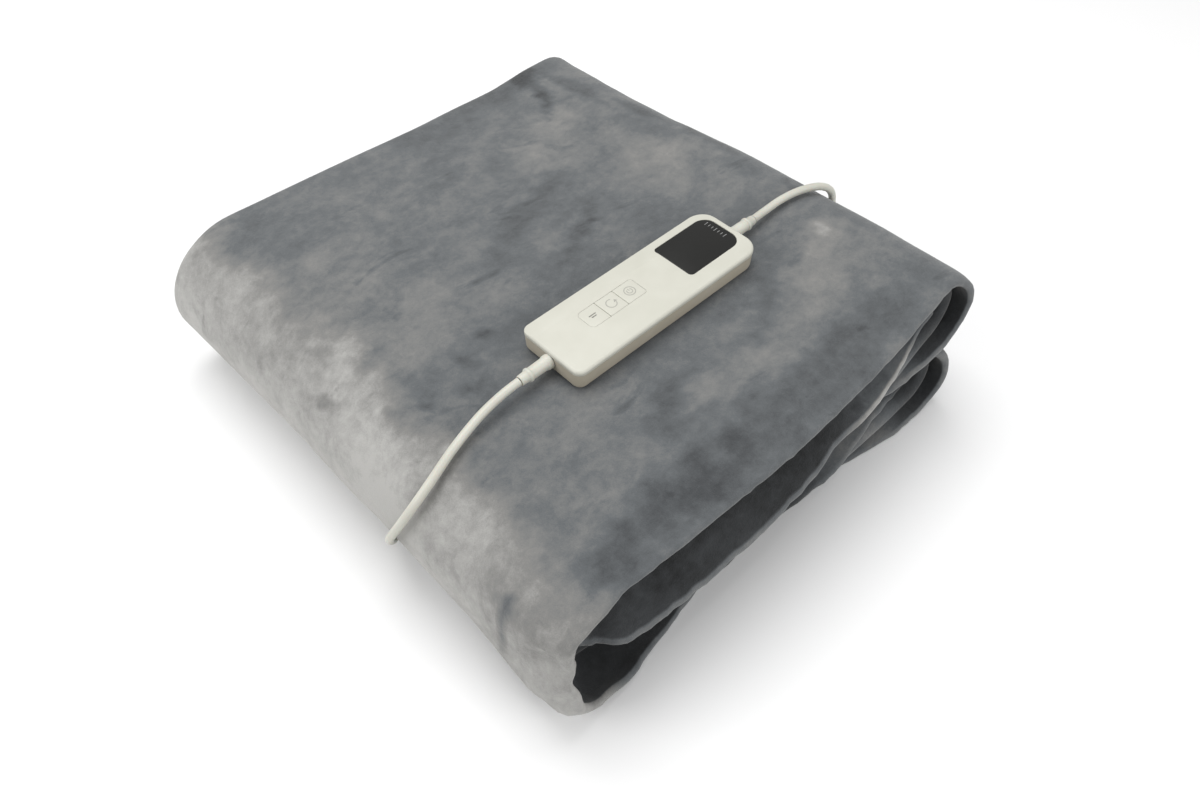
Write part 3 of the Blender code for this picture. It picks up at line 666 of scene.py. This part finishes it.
def settle(xyz):
    """The stack's unevenness: its height along X and the sway of its folds."""
    x, y, z = xyz.T
    rise_x, rise = zip(*RISE_TABLE)
    lift = np.interp(x, rise_x, rise)
    sway = SWAY * np.sin(9.0 * y + 35.0 * z) * smooth_step((np.abs(x) - 0.12) / 0.05)
    sway -= DRAWN_IN * smooth_step((y + 0.03) / 0.16) * smooth_step((x - 0.05) / 0.10)
    lift = lift - FRONT_SAG * smooth_step((-0.12 - y) / 0.06) * smooth_step((x - 0.12) / 0.06)
    return np.stack([x + sway, y, z * (1.0 + lift / STACK)], axis=1)


def squared(x, z, centre, reach, half_height, power):
    """Points round a fold moved out or in, from an ellipse to a squarer or a flatter shape."""
    u, v = (x - centre[0]) / reach, (z - centre[1]) / half_height
    size = np.hypot(u, v) + 1e-9
    other = (np.abs(u) ** power + np.abs(v) ** power) ** (1.0 / power) + 1e-9
    factor = size / other
    return centre[0] + (x - centre[0]) * factor, centre[1] + (z - centre[1]) * factor


def front_shapes(part, x, z, y):
    """The folds' own shapes near the front: a square shoulder, and loops pressed flat above."""
    front = smooth_step((-0.105 - y) / 0.060)
    half = (LEVEL_Z["top"] - LEVEL_Z["bottom"]) / 2
    middle = LEVEL_Z["bottom"] + half
    if part == "big fold":
        power = 2.0 + FOLD_SQUARE * front * (z > middle) + 0.5 * front * (z <= middle)
        x, z = squared(x, z, (BIG_FOLD_X, middle), BIG_FOLD_REACH + GROUP / 2, half + GROUP / 2,
                       power)
    if part == "upper loop":
        centre = (LEVEL_Z["second"] + LEVEL_Z["top"]) / 2
        power = 2.0 - LOOP_FLAT * front * (z > centre)
        size = (LEVEL_PITCH + GROUP) / 2
        x, z = squared(x, z, (UPPER_LOOP_X, centre), size, size, power)
    return x, z


def gathers(x, y, z):
    """How far the turned-in front of the big fold is drawn into soft level gathers."""
    near = smooth_step((-0.150 - y) / 0.026) * smooth_step((-0.146 - x) / 0.016)
    wave = np.sin(z * 270.0 + 2.6 * np.sin(z * 61.0 + 0.7) + y * 140.0)
    dimple = np.exp(-((z - DIMPLE_AT[1]) / DIMPLE_SIZE[1]) ** 2
                    - ((y - DIMPLE_AT[0]) / DIMPLE_SIZE[0]) ** 2)
    return near * (GATHER_DEPTH * wave + FINE_GATHER_DEPTH * np.sin(z * 143.0 + 1.0)
                   - DIMPLE_DEPTH * dimple)


def cloth_points():
    """All vertices of the cloth as (stations, ring, 3)."""
    path = fold_path()
    lengths = path_lengths(path)
    table = edge_values(path, lengths)
    rows = []
    for k, (part, x, z, nx, nz) in enumerate(path):
        edge = {name: float(values[k]) for name, values in table.items()}
        ring = section_ring(edge)
        y, n = ring.T
        height = z + nz * n
        hang = np.maximum(0.0, (DROOP_FROM - y) / (DROOP_FROM - DROOP_TO))
        sunk = edge["drop"] * hang * np.minimum(1.0, height / GROUP)
        out = x + nx * n
        if part == "second":
            free_end = float(smooth_step((-0.105 - x) / 0.033))
            out = out - FLAP_REACH * free_end * smooth_step((FLAP_FROM - y) / 0.012)
            groove = math.exp(-((x - CREASE_X) / CREASE_WIDTH) ** 2)
            step = float(smooth_step((CREASE_X - x) / CREASE_WIDTH + 0.5))
            crease = CREASE_DEPTH * (0.6 * groove + step)
            y = y + crease * smooth_step((-0.152 - y) / 0.016)
        out, height = front_shapes(part, out, height - sunk, y)
        if part == "big fold":
            out = out - gathers(out, y, height)
        rows.append(settle(np.stack([out, y, height], axis=1)))
    return np.array(rows), path


def build_blanket(mat):
    """The folded cloth as one fine sheet."""
    points, path = cloth_points()
    rows, ring = points.shape[:2]
    mesh = bpy.data.meshes.new("blanket_cloth")
    index = np.arange(rows * ring).reshape(rows, ring)
    a, b = index[:-1], index[1:]
    quads = np.stack([a, np.roll(a, -1, axis=1), np.roll(b, -1, axis=1), b], axis=2).reshape(-1, 4)
    faces = quads.tolist()
    half = (ring - 2 * NOSE_POINTS) // 2
    for row in (index[0], index[-1]):
        upper = list(row[:half])
        end_nose = list(row[half:half + NOSE_POINTS])
        lower = list(row[half + NOSE_POINTS:2 * half + NOSE_POINTS])[::-1]
        start_nose = list(row[2 * half + NOSE_POINTS:])
        for k in range(half - 1):
            faces.append([upper[k], upper[k + 1], lower[k + 1], lower[k]])
        faces.append([upper[-1]] + end_nose + [lower[-1]])
        faces.append([lower[0]] + start_nose + [upper[0]])
    mesh.from_pydata(points.reshape(-1, 3).tolist(), [], [[int(v) for v in f] for f in faces])
    bm = bmesh.new()
    bm.from_mesh(mesh)
    bmesh.ops.recalc_face_normals(bm, faces=bm.faces)
    bm.to_mesh(mesh)
    bm.free()
    mesh.shade_smooth()
    dent(mesh)
    brush(mesh, path, ring)
    blanket = add_piece("blanket_cloth", mesh, mat, replaces=["blanket"])
    return blanket


def vertex_arrays(mesh):
    """Vertex positions and normals as arrays."""
    count = len(mesh.vertices)
    co = np.zeros(count * 3)
    normal = np.zeros(count * 3)
    mesh.vertices.foreach_get("co", co)
    mesh.vertices.foreach_get("normal", normal)
    return co.reshape(-1, 3), normal.reshape(-1, 3)


def dent(mesh):
    """Soft dents and small ripples along the cloth's own normals."""
    co, normal = vertex_arrays(mesh)
    wide = np.array([noise.noise(Vector((p[0] * 11, p[1] * 15, p[2] * 12))) for p in co])
    small = np.array([noise.noise(Vector((p[0] * 42, p[1] * 60, p[2] * 50)) + Vector((7, 3, 5)))
                      for p in co])
    free = smooth_step((np.maximum(co[:, 2], 0.0)) / 0.012)
    amount = (0.0009 * wide + 0.0004 * small) * free
    mesh.vertices.foreach_set("co", (co + normal * amount[:, None]).ravel())
    mesh.update()


def strokes(co):
    """Lightness from the strokes on the top and the big fold, with soft ragged edges."""
    total = np.zeros(len(co))
    ragged = np.array([noise.fractal(Vector((p[0] * 45, p[1] * 45, p[2] * 45)), 0.7, 2.1, 3)
                       for p in co])
    height = smooth_step((co[:, 2] - 0.020) / 0.05)
    for x, y, direction, length, width, lightness in STROKE_TABLE:
        cos, sin = math.cos(math.radians(direction)), math.sin(math.radians(direction))
        dx, dy = co[:, 0] - x, co[:, 1] - y
        along, across = dx * cos + dy * sin, dy * cos - dx * sin
        bow = across - 0.10 * along * along / max(length, 0.02)
        size = np.sqrt((2 * along / length) ** 2 + (2 * bow / width) ** 2)
        total += lightness * smooth_step((1.35 - size + 0.55 * ragged) / 0.8)
    return total * height


def brush(mesh, path, ring):
    """Lightness per vertex: nap strokes, painted light on the big fold, painted shade between
    plies.
    """
    co = vertex_arrays(mesh)[0]
    ragged = np.array([noise.fractal(Vector((p[0] * 20, p[1] * 26, p[2] * 20)), 0.6, 2.1, 4)
                       for p in co])
    # Painted light over the big fold, more of it low down, and painted shade towards its front
    over = smooth_step((-0.128 - co[:, 0] + 0.012 * ragged) / 0.030)
    low = smooth_step((0.100 - co[:, 2]) / 0.05)
    nearer = smooth_step((-0.090 - co[:, 1]) / 0.06)
    nap = over * (PAINTED_LIGHT_ON_FOLD + PAINTED_LIGHT_LOW_ON_FOLD * low - PAINTED_SHADE_FOLD_FRONT * nearer) + strokes(co)
    place = np.arange(len(co)) % ring
    station = np.arange(len(co)) // ring
    half = (ring - 2 * NOSE_POINTS) // 2
    ply = len(ply_marks(-0.18, 0.18, True))
    part = np.array([s[0] for s in path])[station]
    along = np.array([s[1] for s in path])[station]
    end_nose = (place >= half) & (place < half + NOSE_POINTS)
    start_nose = place >= 2 * half + NOSE_POINTS
    outside = (place < ply) | start_nose
    hanging = (part == "second") & (place >= half)
    hanging = hanging & (place < half + NOSE_POINTS + HANGING_POINTS)
    # Painted shade on the inner plies near the front, where they lie between other plies
    front = smooth_step((-0.140 - co[:, 1]) / 0.020)
    between = front * smooth_step((co[:, 0] + 0.18) / 0.02)
    nap = np.where(~outside & ~hanging, nap - PAINTED_SHADE_BETWEEN_PLIES * between, nap)
    # Painted light on the shelf, taking back some of that painted shade where the inner plies show
    shelf = (part == "second") * smooth_step((along - 0.045) / 0.060)
    shelf = shelf + (part == "bottom") * smooth_step((along - 0.010) / 0.070)
    shelf = shelf * smooth_step((0.154 - along) / 0.040)
    nap = np.where(outside, nap, nap + PAINTED_LIGHT_ON_SHELF * front * shelf)
    # The hanging ply: painted shade under the top lip, and painted light towards its own lip
    lip = smooth_step((-0.164 - co[:, 1]) / 0.022)
    nap = np.where(hanging, nap - PAINTED_SHADE_HANGING * front + PAINTED_LIGHT_AT_LIP * lip, nap)
    # Painted shade in the crease across the hanging ply
    crease = np.exp(-((along - CREASE_X - 0.001) / 0.0022) ** 2)
    crease = crease * smooth_step((-0.160 - co[:, 1]) / 0.01)
    nap = np.where(hanging & ~end_nose, nap - PAINTED_SHADE_IN_CREASE * crease, nap)
    layer = mesh.attributes.new("nap", "FLOAT", "POINT")
    layer.data.foreach_set("value", nap.astype(np.float32))


# --------------------------------------------------------------------- cords


def cord_piece(name, points, mat, replaces):
    """A round cord as a curve through the points."""
    curve = bpy.data.curves.new(name, "CURVE")
    curve.dimensions = "3D"
    curve.bevel_depth = CORD / 2
    curve.bevel_resolution = 5
    curve.use_fill_caps = True
    spline = curve.splines.new("POLY")
    spline.points.add(len(points) - 1)
    for target, point in zip(spline.points, points):
        target.co = (*point, 1.0)
    spline.use_smooth = True
    return add_piece(name, curve, mat, replaces=replaces)


def coil_points():
    """The coil's turns: two beside each other in each of the layers."""
    inner, outer = COIL_RADIUS - CORD / 2, COIL_RADIUS + CORD / 2
    per_turn = 36
    points = []
    for turn_number in range(2 * COIL_LAYERS):
        layer, second = divmod(turn_number, 2)
        outward = layer % 2 == 0
        this_radius = (outer, inner)[second] if outward else (inner, outer)[second]
        next_radius = this_radius if second else (inner if outward else outer)
        for k in range(per_turn):
            angle = 360.0 * k / per_turn
            across = smooth_step((angle - 300.0) / 60.0)
            radius = this_radius + (next_radius - this_radius) * across
            level = layer + (smooth_step((angle - 290.0) / 70.0) if second else 0.0)
            if turn_number == 2 * COIL_LAYERS - 1:
                level = layer
            z = COIL_FLOOR + CORD / 2 + CORD * level
            around = math.radians(180.0 - angle)
            points.append((COIL_CENTRE[0] + radius * math.cos(around),
                           COIL_CENTRE[1] + radius * math.sin(around), z))
    return points


def build_cords(mat):
    """The lead to the cloth, and the mains cord with its coil."""
    lead = cord_piece("lead", smooth_curve(LEAD_ROUTE, CORD_STEP), mat, ["cord_lead"])
    mains_points = smooth_curve(MAINS_ROUTE, CORD_STEP)
    mains_points += coil_points()
    mains_points += smooth_curve(TAIL_ROUTE, CORD_STEP)
    mains = cord_piece("mains", mains_points, mat, ["cord_mains", "mains_coil", "cord_tail"])
    return lead, mains


# ------------------------------------------------------------------- handset


def rounded_outline(x_range, y_range, near_radius, far_radius, inset=0.0, segments=10):
    """Corner points of a rectangle whose two ends have their own radii."""
    x0, x1 = x_range[0] + inset, x_range[1] - inset
    y0, y1 = y_range[0] + inset, y_range[1] - inset
    near = max(near_radius - inset, 0.0003)
    far = max(far_radius - inset, 0.0003)
    corners = ((x0 + near, y0 + near, near, 180), (x1 - far, y0 + far, far, 270),
               (x1 - far, y1 - far, far, 0), (x0 + near, y1 - near, near, 90))
    points = []
    for cx, cy, radius, start in corners:
        for k in range(segments + 1):
            angle = math.radians(start + 90.0 * k / segments)
            points.append((cx + radius * math.cos(angle), cy + radius * math.sin(angle)))
    return points


def stack_bmesh(layers):
    """A closed bmesh through equal-sized outlines, each a (points, z) pair, low to high."""
    bm = bmesh.new()
    bridge(bm, [[bm.verts.new((x, y, z)) for x, y in points] for points, z in layers])
    return bm


def plate(x_range, y_range, z_range, near, far, edge, steps=5):
    """A rounded plate whose upper edge is a quarter round of radius edge."""
    low, high = z_range
    layers = [(rounded_outline(x_range, y_range, near, far), low)]
    for k in range(steps + 1):
        angle = math.radians(90.0 * k / steps)
        layers.append((rounded_outline(x_range, y_range, near, far,
                                       inset=edge * (1.0 - math.cos(angle))),
                       high - edge + edge * math.sin(angle)))
    return stack_bmesh(layers)


def pocket(outline, depth):
    """A cutter that sinks an outline into the handset's top."""
    return stack_bmesh([(outline, HANDSET_TOP - depth), (outline, HANDSET_TOP + 0.002)])


def hollowed(name, bm, cutters, mat, replaces):
    """A piece with pockets cut out of it."""
    raw = linked(name + "_raw", mesh_from_bmesh(name + "_raw", bm))
    helpers = [raw]
    for number, cutter in enumerate(cutters):
        tool_name = "%s_tool_%d" % (name, number)
        tool = linked(tool_name, mesh_from_bmesh(tool_name, cutter))
        modifier = raw.modifiers.new("cut", "BOOLEAN")
        modifier.operation = "DIFFERENCE"
        modifier.solver = "EXACT"
        modifier.object = tool
        helpers.append(tool)
    bpy.context.view_layer.update()
    graph = bpy.context.evaluated_depsgraph_get()
    mesh = bpy.data.meshes.new_from_object(raw.evaluated_get(graph))
    for helper in helpers:
        bpy.data.objects.remove(helper, do_unlink=True)
    mesh.name = name
    mesh.materials.clear()
    mesh.shade_smooth()
    mesh.set_sharp_from_angle(angle=math.radians(28.0))
    crisp_ridge(mesh)
    return add_piece(name, mesh, mat, replaces=replaces)


def crisp_ridge(mesh):
    """Keep the line between the flat top and the sloped facet crisp."""
    slope = math.atan2(FACET_DROP, FACET_WIDTH)
    bm = bmesh.new()
    bm.from_mesh(mesh)
    for edge in bm.edges:
        normals = [face.normal for face in edge.link_faces]
        tilts = sorted(normal.y for normal in normals)
        level = all(normal.z > 0.985 and abs(normal.x) < 0.002 for normal in normals)
        if len(tilts) == 2 and level and abs(tilts[0]) < 0.002:
            if abs(tilts[1] - math.sin(slope)) < 0.003:
                edge.smooth = False
    bm.to_mesh(mesh)
    bm.free()


def build_handset(shell, shell_side):
    """Lower shell with rounded lower edges, and upper shell with its facet and pockets."""
    split = HANDSET_FLOOR + BASE_HEIGHT

    def outline(inset):
        return rounded_outline(HANDSET_X, HANDSET_Y, NEAR_CORNER, FAR_CORNER, inset)

    base = [(outline(0.0034), HANDSET_FLOOR)]
    for k in range(1, 7):
        angle = math.radians(90.0 * k / 6)
        base.append((outline(0.0006 + 0.0028 * (1.0 - math.sin(angle))),
                     HANDSET_FLOOR + 0.0030 * (1.0 - math.cos(angle))))
    base += [(outline(0.0003), split - 0.0009), (outline(0.0004), split - 0.0003),
             (outline(0.0008), split)]
    add_piece("handset_lower", mesh_from_bmesh("handset_lower", stack_bmesh(base), 40.0),
              shell_side, replaces=["handset_base"])

    low = split + GAP
    top = [(outline(0.0006), low), (outline(0.0002), low + 0.0002), (outline(0.0), low + 0.0006)]
    for k in range(9):
        angle = math.radians(90.0 * k / 8)
        top.append((outline(0.0019 * (1.0 - math.cos(angle))),
                    HANDSET_TOP - 0.0019 + 0.0019 * math.sin(angle)))
    bm = stack_bmesh(top)
    bmesh.ops.recalc_face_normals(bm, faces=bm.faces)
    slope = math.atan2(FACET_DROP, FACET_WIDTH)
    hinge = (0.0, HANDSET_Y[1] - FACET_WIDTH, HANDSET_TOP)
    bmesh.ops.bisect_plane(bm, geom=bm.verts[:] + bm.edges[:] + bm.faces[:], plane_co=hinge,
                           plane_no=(0.0, math.sin(slope), math.cos(slope)), clear_outer=True)
    rim = [e for e in bm.edges if e.is_boundary]
    bmesh.ops.edgenet_fill(bm, edges=rim)
    window = pocket(rounded_outline(WINDOW_X, WINDOW_Y, *WINDOW_CORNERS), WINDOW_DEPTH)
    well = pocket(rounded_outline(KEYS_X, KEYS_Y, *WELL_CORNERS), KEY_DEPTH)
    hollowed("handset_upper", bm, [window, well], shell, ["handset_top"])


def build_window(mat, marks_mat):
    """The display window, and a row of plain level marks along its far end."""
    window_x = (WINDOW_X[0] + GAP, WINDOW_X[1] - GAP)
    window_y = (WINDOW_Y[0] + GAP, WINDOW_Y[1] - GAP)
    high = HANDSET_TOP - 0.0003
    window_z = (HANDSET_TOP - WINDOW_DEPTH + GAP, high)
    bm = plate(window_x, window_y, window_z, *WINDOW_CORNERS, 0.0003)
    add_piece("window", mesh_from_bmesh("window", bm), mat,
              replaces=["display_window"])
    bm = bmesh.new()
    for k in range(7):
        y = WINDOW_Y[1] - 0.0060 - 0.0026 * k
        half = 0.0011 if k % 3 else 0.0017
        x = WINDOW_X[1] - 0.0046
        corners = [(x - half, y - 0.0002), (x + half, y - 0.0002), (x + half, y + 0.0002),
                   (x - half, y + 0.0002)]
        slab(bm, corners, high)
    add_piece("window_marks", mesh_from_bmesh("window_marks", bm), marks_mat)


def slab(bm, corners, floor):
    """A thin printed shape of any outline, standing on a level."""
    low = [bm.verts.new((x, y, floor - INK)) for x, y in corners]
    high = [bm.verts.new((x, y, floor + INK)) for x, y in corners]
    bm.faces.new(low[::-1])
    bm.faces.new(high)
    for k in range(len(corners)):
        m = (k + 1) % len(corners)
        bm.faces.new((low[k], low[m], high[m], high[k]))


def ribbon(bm, points, width, floor):
    """A thin printed line through points, one short slab between each two."""
    line = np.array(points, dtype=float)
    tangent = np.gradient(line, axis=0)
    tangent /= np.linalg.norm(tangent, axis=1)[:, None]
    side = np.stack([-tangent[:, 1], tangent[:, 0]], axis=1) * width / 2
    left, right = line + side, line - side
    slab(bm, [tuple(p) for p in left] + [tuple(p) for p in right[::-1]], floor)


def arc(centre, radius, start, end, count=28):
    """Points along an arc, angles in degrees."""
    return [(centre[0] + radius * math.cos(math.radians(a)),
             centre[1] + radius * math.sin(math.radians(a)))
            for a in np.linspace(start, end, count)]


def bar_sign(bm, centre, floor):
    """Two short level bars."""
    for y, half in ((0.0009, 0.0026), (-0.0007, 0.0018)):
        ribbon(bm, [(centre[0] - half, centre[1] + y), (centre[0], centre[1] + y),
                    (centre[0] + half, centre[1] + y)], 0.0007, floor)


def round_arrow_sign(bm, centre, floor):
    """An open circle that ends in an arrowhead."""
    ribbon(bm, arc(centre, 0.0033, 60.0, 345.0), 0.00055, floor)
    tip = arc(centre, 0.0033, 345.0, 372.0, 2)[1]
    slab(bm, [(tip[0] - 0.0013, tip[1] - 0.0012), (tip[0] + 0.0012, tip[1] - 0.0010),
              (tip[0], tip[1] + 0.0009)], floor)


def power_sign(bm, centre, floor):
    """A circle with a short upright bar in it."""
    ribbon(bm, arc(centre, 0.0035, 20.0, 379.0, 40), 0.00055, floor)
    ribbon(bm, arc(centre, 0.0018, 130.0, 410.0, 18), 0.0005, floor)
    ribbon(bm, [(centre[0], centre[1] + 0.0002), (centre[0], centre[1] + 0.0012),
                (centre[0], centre[1] + 0.0021)], 0.0005, floor)


def build_keys(mat, sign_mat, sign_dark):
    """Three press keys with their printed signs, each on its own body."""
    edges = (KEYS_X[0],) + KEY_SPLITS + (KEYS_X[1],)
    radii = ((0.0032, 0.0006), (0.0006, 0.0006), (0.0006, 0.0018))
    signs = (bar_sign, round_arrow_sign, power_sign)
    inks = (sign_dark, sign_mat, sign_mat)
    high = HANDSET_TOP + KEY_PROUD
    for k, name in enumerate(("key_left", "key_middle", "key_right")):
        key_x = (edges[k] + GAP, edges[k + 1] - GAP)
        key_y = (KEYS_Y[0] + GAP, KEYS_Y[1] - GAP)
        key_z = (HANDSET_TOP - KEY_DEPTH + KEY_TRAVEL + GAP, high)
        bm = plate(key_x, key_y, key_z, *radii[k], 0.00045)
        add_piece(name + "_cap", mesh_from_bmesh(name + "_cap", bm), mat, body=name,
                  replaces=[name])
        bm = bmesh.new()
        signs[k](bm, ((key_x[0] + key_x[1]) / 2, (key_y[0] + key_y[1]) / 2), high)
        add_piece(name + "_sign", mesh_from_bmesh(name + "_sign", bm), inks[k], body=name)


# ---------------------------------------------------------- turned and flat pieces


def turned(name, profile, origin, direction, mat, replaces, segments=40):
    """A solid of revolution: (distance, radius) pairs along a direction."""
    bm = bmesh.new()
    axis = Vector(direction).normalized()
    side = axis.orthogonal().normalized()
    other = axis.cross(side)
    rings = []
    for distance, radius in profile:
        ring = []
        for k in range(segments):
            angle = 2 * math.pi * k / segments
            spoke = side * math.cos(angle) + other * math.sin(angle)
            ring.append(bm.verts.new(Vector(origin) + axis * distance + spoke * radius))
        rings.append(ring)
    bridge(bm, rings)
    return add_piece(name, mesh_from_bmesh(name, bm, 40.0), mat, replaces=replaces)


def relief_profile(length, radii):
    """A rounded collar, a long taper, a bead and a short sleeve down to the cord."""
    start, end = radii
    middle = (start + end) / 2
    profile = [(0.0, start), (0.105 * length, start), (0.125 * length, start * 0.985),
               (0.140 * length, start * 0.95), (0.160 * length, middle * 1.04),
               (0.200 * length, middle * 1.00), (0.400 * length, middle * 0.98),
               (0.600 * length, middle * 0.95)]
    for k in range(7):
        angle = math.radians(180.0 * k / 6)
        profile.append(((0.70 - 0.055 * math.cos(angle)) * length,
                        middle * (0.96 + 0.14 * math.sin(angle))))
    profile += [(0.780 * length, end), (0.960 * length, end * 0.95), (0.990 * length, end * 0.90),
                (length, end * 0.84)]
    return profile


def build_reliefs(mat):
    """The strain reliefs of both cords."""
    profile = relief_profile(RELIEF_LENGTH, RELIEF_RADII)
    lead = turned("lead_relief", profile, (HANDSET_X[0] - GAP, *CORD_AXIS), (-1, 0, 0), mat,
                  ["relief_lead"])
    mains = turned("mains_relief", profile, (HANDSET_X[1] + GAP, *CORD_AXIS), (1, 0, 0), mat,
                   ["relief_mains"])
    return lead, mains


def build_tie(mat):
    """The strap round one side of the coil, a closed band with rounded corners."""
    x = COIL_CENTRE[0] + COIL_RADIUS
    left, right = x - CORD - 3 * GAP, x + CORD + GAP
    low, high = TIE_THICKNESS, COIL_TOP + GAP
    corner = 0.0009
    centres = ((right - corner, low + corner, -90.0), (right - corner, high - corner, 0.0),
               (left + corner, high - corner, 90.0), (left + corner, low + corner, 180.0))
    loops = []
    for grow in (0.0, TIE_THICKNESS):
        loop = []
        for cx, cz, start in centres:
            for k in range(6):
                angle = math.radians(start + 18.0 * k)
                loop.append((cx + (corner + grow) * math.cos(angle),
                             cz + (corner + grow) * math.sin(angle)))
        loops.append(loop)
    bm = bmesh.new()
    rings = []
    for loop, inset in ((loops[0], 0.0003), (loops[0], 0.0), (loops[1], 0.0), (loops[1], 0.0003)):
        for side in (-1, 1):
            y = COIL_CENTRE[1] + side * (TIE_WIDTH / 2 - inset)
            rings.append([bm.verts.new((px, y, pz)) for px, pz in loop])
    bridge(bm, [rings[k] for k in (0, 2, 4, 6, 7, 5, 3, 1, 0)], capped=False)
    return add_piece("strap", mesh_from_bmesh("strap", bm), mat, replaces=["coil_tie"])


def build_plug(mat, pin_mat):
    """The plug: its relief, a softly rounded body, and two pins."""
    x, z = PLUG_AXIS
    relief = turned("plug_sleeve", relief_profile(PLUG_RELIEF_LENGTH, (0.0044, 0.0033))[::-1],
                    (x, PLUG_START + PLUG_RELIEF_LENGTH, z), (0, -1, 0), mat,
                    ["plug_relief"])
    start = PLUG_START + PLUG_RELIEF_LENGTH + GAP
    narrow, wide = (w / 2 for w in PLUG_WIDTHS)
    marks = (0.0, 0.0012, 0.004, 0.009, 0.014, 0.019, 0.024, 0.029, PLUG_LENGTH - 0.003,
             PLUG_LENGTH - 0.0012, PLUG_LENGTH)
    knots = (0.0, 0.004, 0.014, 0.024, PLUG_LENGTH - 0.003, PLUG_LENGTH)
    widths = (narrow * 0.86, narrow, narrow * 1.12, wide * 0.92, wide, wide * 0.99)
    shrink = (0.0016, 0.0004, 0, 0, 0, 0, 0, 0, 0, 0.0003, 0.0013)
    layers = []
    for mark, less in zip(marks, shrink):
        width = float(np.interp(mark, knots, widths)) - less
        half = PLUG_THICKNESS / 2 - less
        outline = rounded_outline((-width, width), (-half, half), 0.0034, 0.0034, segments=6)
        layers.append([(x + a, start + mark, z + b) for a, b in outline])
    bm = bmesh.new()
    bridge(bm, [[bm.verts.new(p) for p in ring] for ring in layers])
    body = add_piece("plug_shell", mesh_from_bmesh("plug_shell", bm, 45.0), mat,
                     replaces=["plug_body"])
    profile = ((0.0, PIN_RADIUS), (PIN_LENGTH - 0.0020, PIN_RADIUS),
               (PIN_LENGTH - 0.0010, PIN_RADIUS * 0.92), (PIN_LENGTH - 0.0003, PIN_RADIUS * 0.70),
               (PIN_LENGTH, PIN_RADIUS * 0.35))
    pins = []
    for name, side in (("left", -1), ("right", 1)):
        pins.append(turned("pin_" + name, profile,
                           (x + side * PIN_SPACING / 2, start + PLUG_LENGTH + GAP, z), (0, 1, 0),
                           pin_mat, ["plug_pin_" + name], segments=28))
    return [relief, body, *pins]


# --------------------------------------------------------------------- stage


def build_stage():
    """Floor, lights and camera."""
    bpy.ops.mesh.primitive_plane_add(size=8.0)
    floor = bpy.context.object
    floor.name = "floor"
    floor.data.materials.append(floor_material())

    def area(name, location, target, size, power):
        data = bpy.data.lights.new(name, "AREA")
        data.size = size
        data.energy = power
        light = linked(name, data)
        light.location = location
        way = Vector(target) - Vector(location)
        light.rotation_mode = "QUATERNION"
        light.rotation_quaternion = way.to_track_quat("-Z", "Y")

    area("key", (-1.30, 0.45, 0.95), (0.0, 0.0, 0.05), 0.9, 9.0)
    area("front", (0.30, -1.40, 0.75), (0.0, 0.0, 0.05), 0.9, 8.0)
    area("overhead", (0.1, 0.4, 1.8), (0.0, 0.0, 0.0), 1.3, 21.0)

    world = bpy.data.worlds.new("studio")
    world.use_nodes = True
    background = world.node_tree.nodes["Background"]
    background.inputs["Color"].default_value = (1.0, 1.0, 1.0, 1.0)
    background.inputs["Strength"].default_value = 0.55
    bpy.context.scene.world = world
    bpy.context.scene.view_settings.view_transform = "Standard"

    data = bpy.data.cameras.new("camera")
    data.lens = CAMERA_LENS
    data.sensor_width = 36.0
    camera = linked("camera", data)
    camera.location = CAMERA_AT
    azimuth, elevation = math.radians(CAMERA_AZIMUTH), math.radians(CAMERA_ELEVATION)
    back = Vector((math.sin(azimuth) * math.cos(elevation),
                   -math.cos(azimuth) * math.cos(elevation), math.sin(elevation)))
    camera.rotation_mode = "QUATERNION"
    camera.rotation_quaternion = (-back).to_track_quat("-Z", "Y")
    bpy.context.scene.camera = camera


# ---------------------------------------------------------------------- main

PLUSH = plush_material()
SHELL = plastic_material("shell", (0.54, 0.535, 0.470), (0.51, 0.505, 0.44), 0.45)
SHELL_SIDE = plastic_material("shell_side", (0.40, 0.365, 0.295), (0.37, 0.335, 0.265), 0.50)
WINDOW = window_material()
CORD_MAT = cord_material()
STRAP = strap_material()
PIN = metal_material()
SIGN = print_material("sign", (0.30, 0.295, 0.26), (0.36, 0.355, 0.32))
SIGN_DARK = print_material("sign_dark", (0.14, 0.137, 0.12), (0.19, 0.186, 0.165))
MARKS = print_material("window_marks", (0.20, 0.20, 0.20), (0.30, 0.30, 0.295), 0.35)

build_blanket(PLUSH)
build_handset(SHELL, SHELL_SIDE)
build_window(WINDOW, MARKS)
build_keys(SHELL, SIGN, SIGN_DARK)
reliefs = build_reliefs(CORD_MAT)
lead, mains = build_cords(CORD_MAT)
tie = build_tie(STRAP)
plug = build_plug(CORD_MAT, PIN)
build_stage()
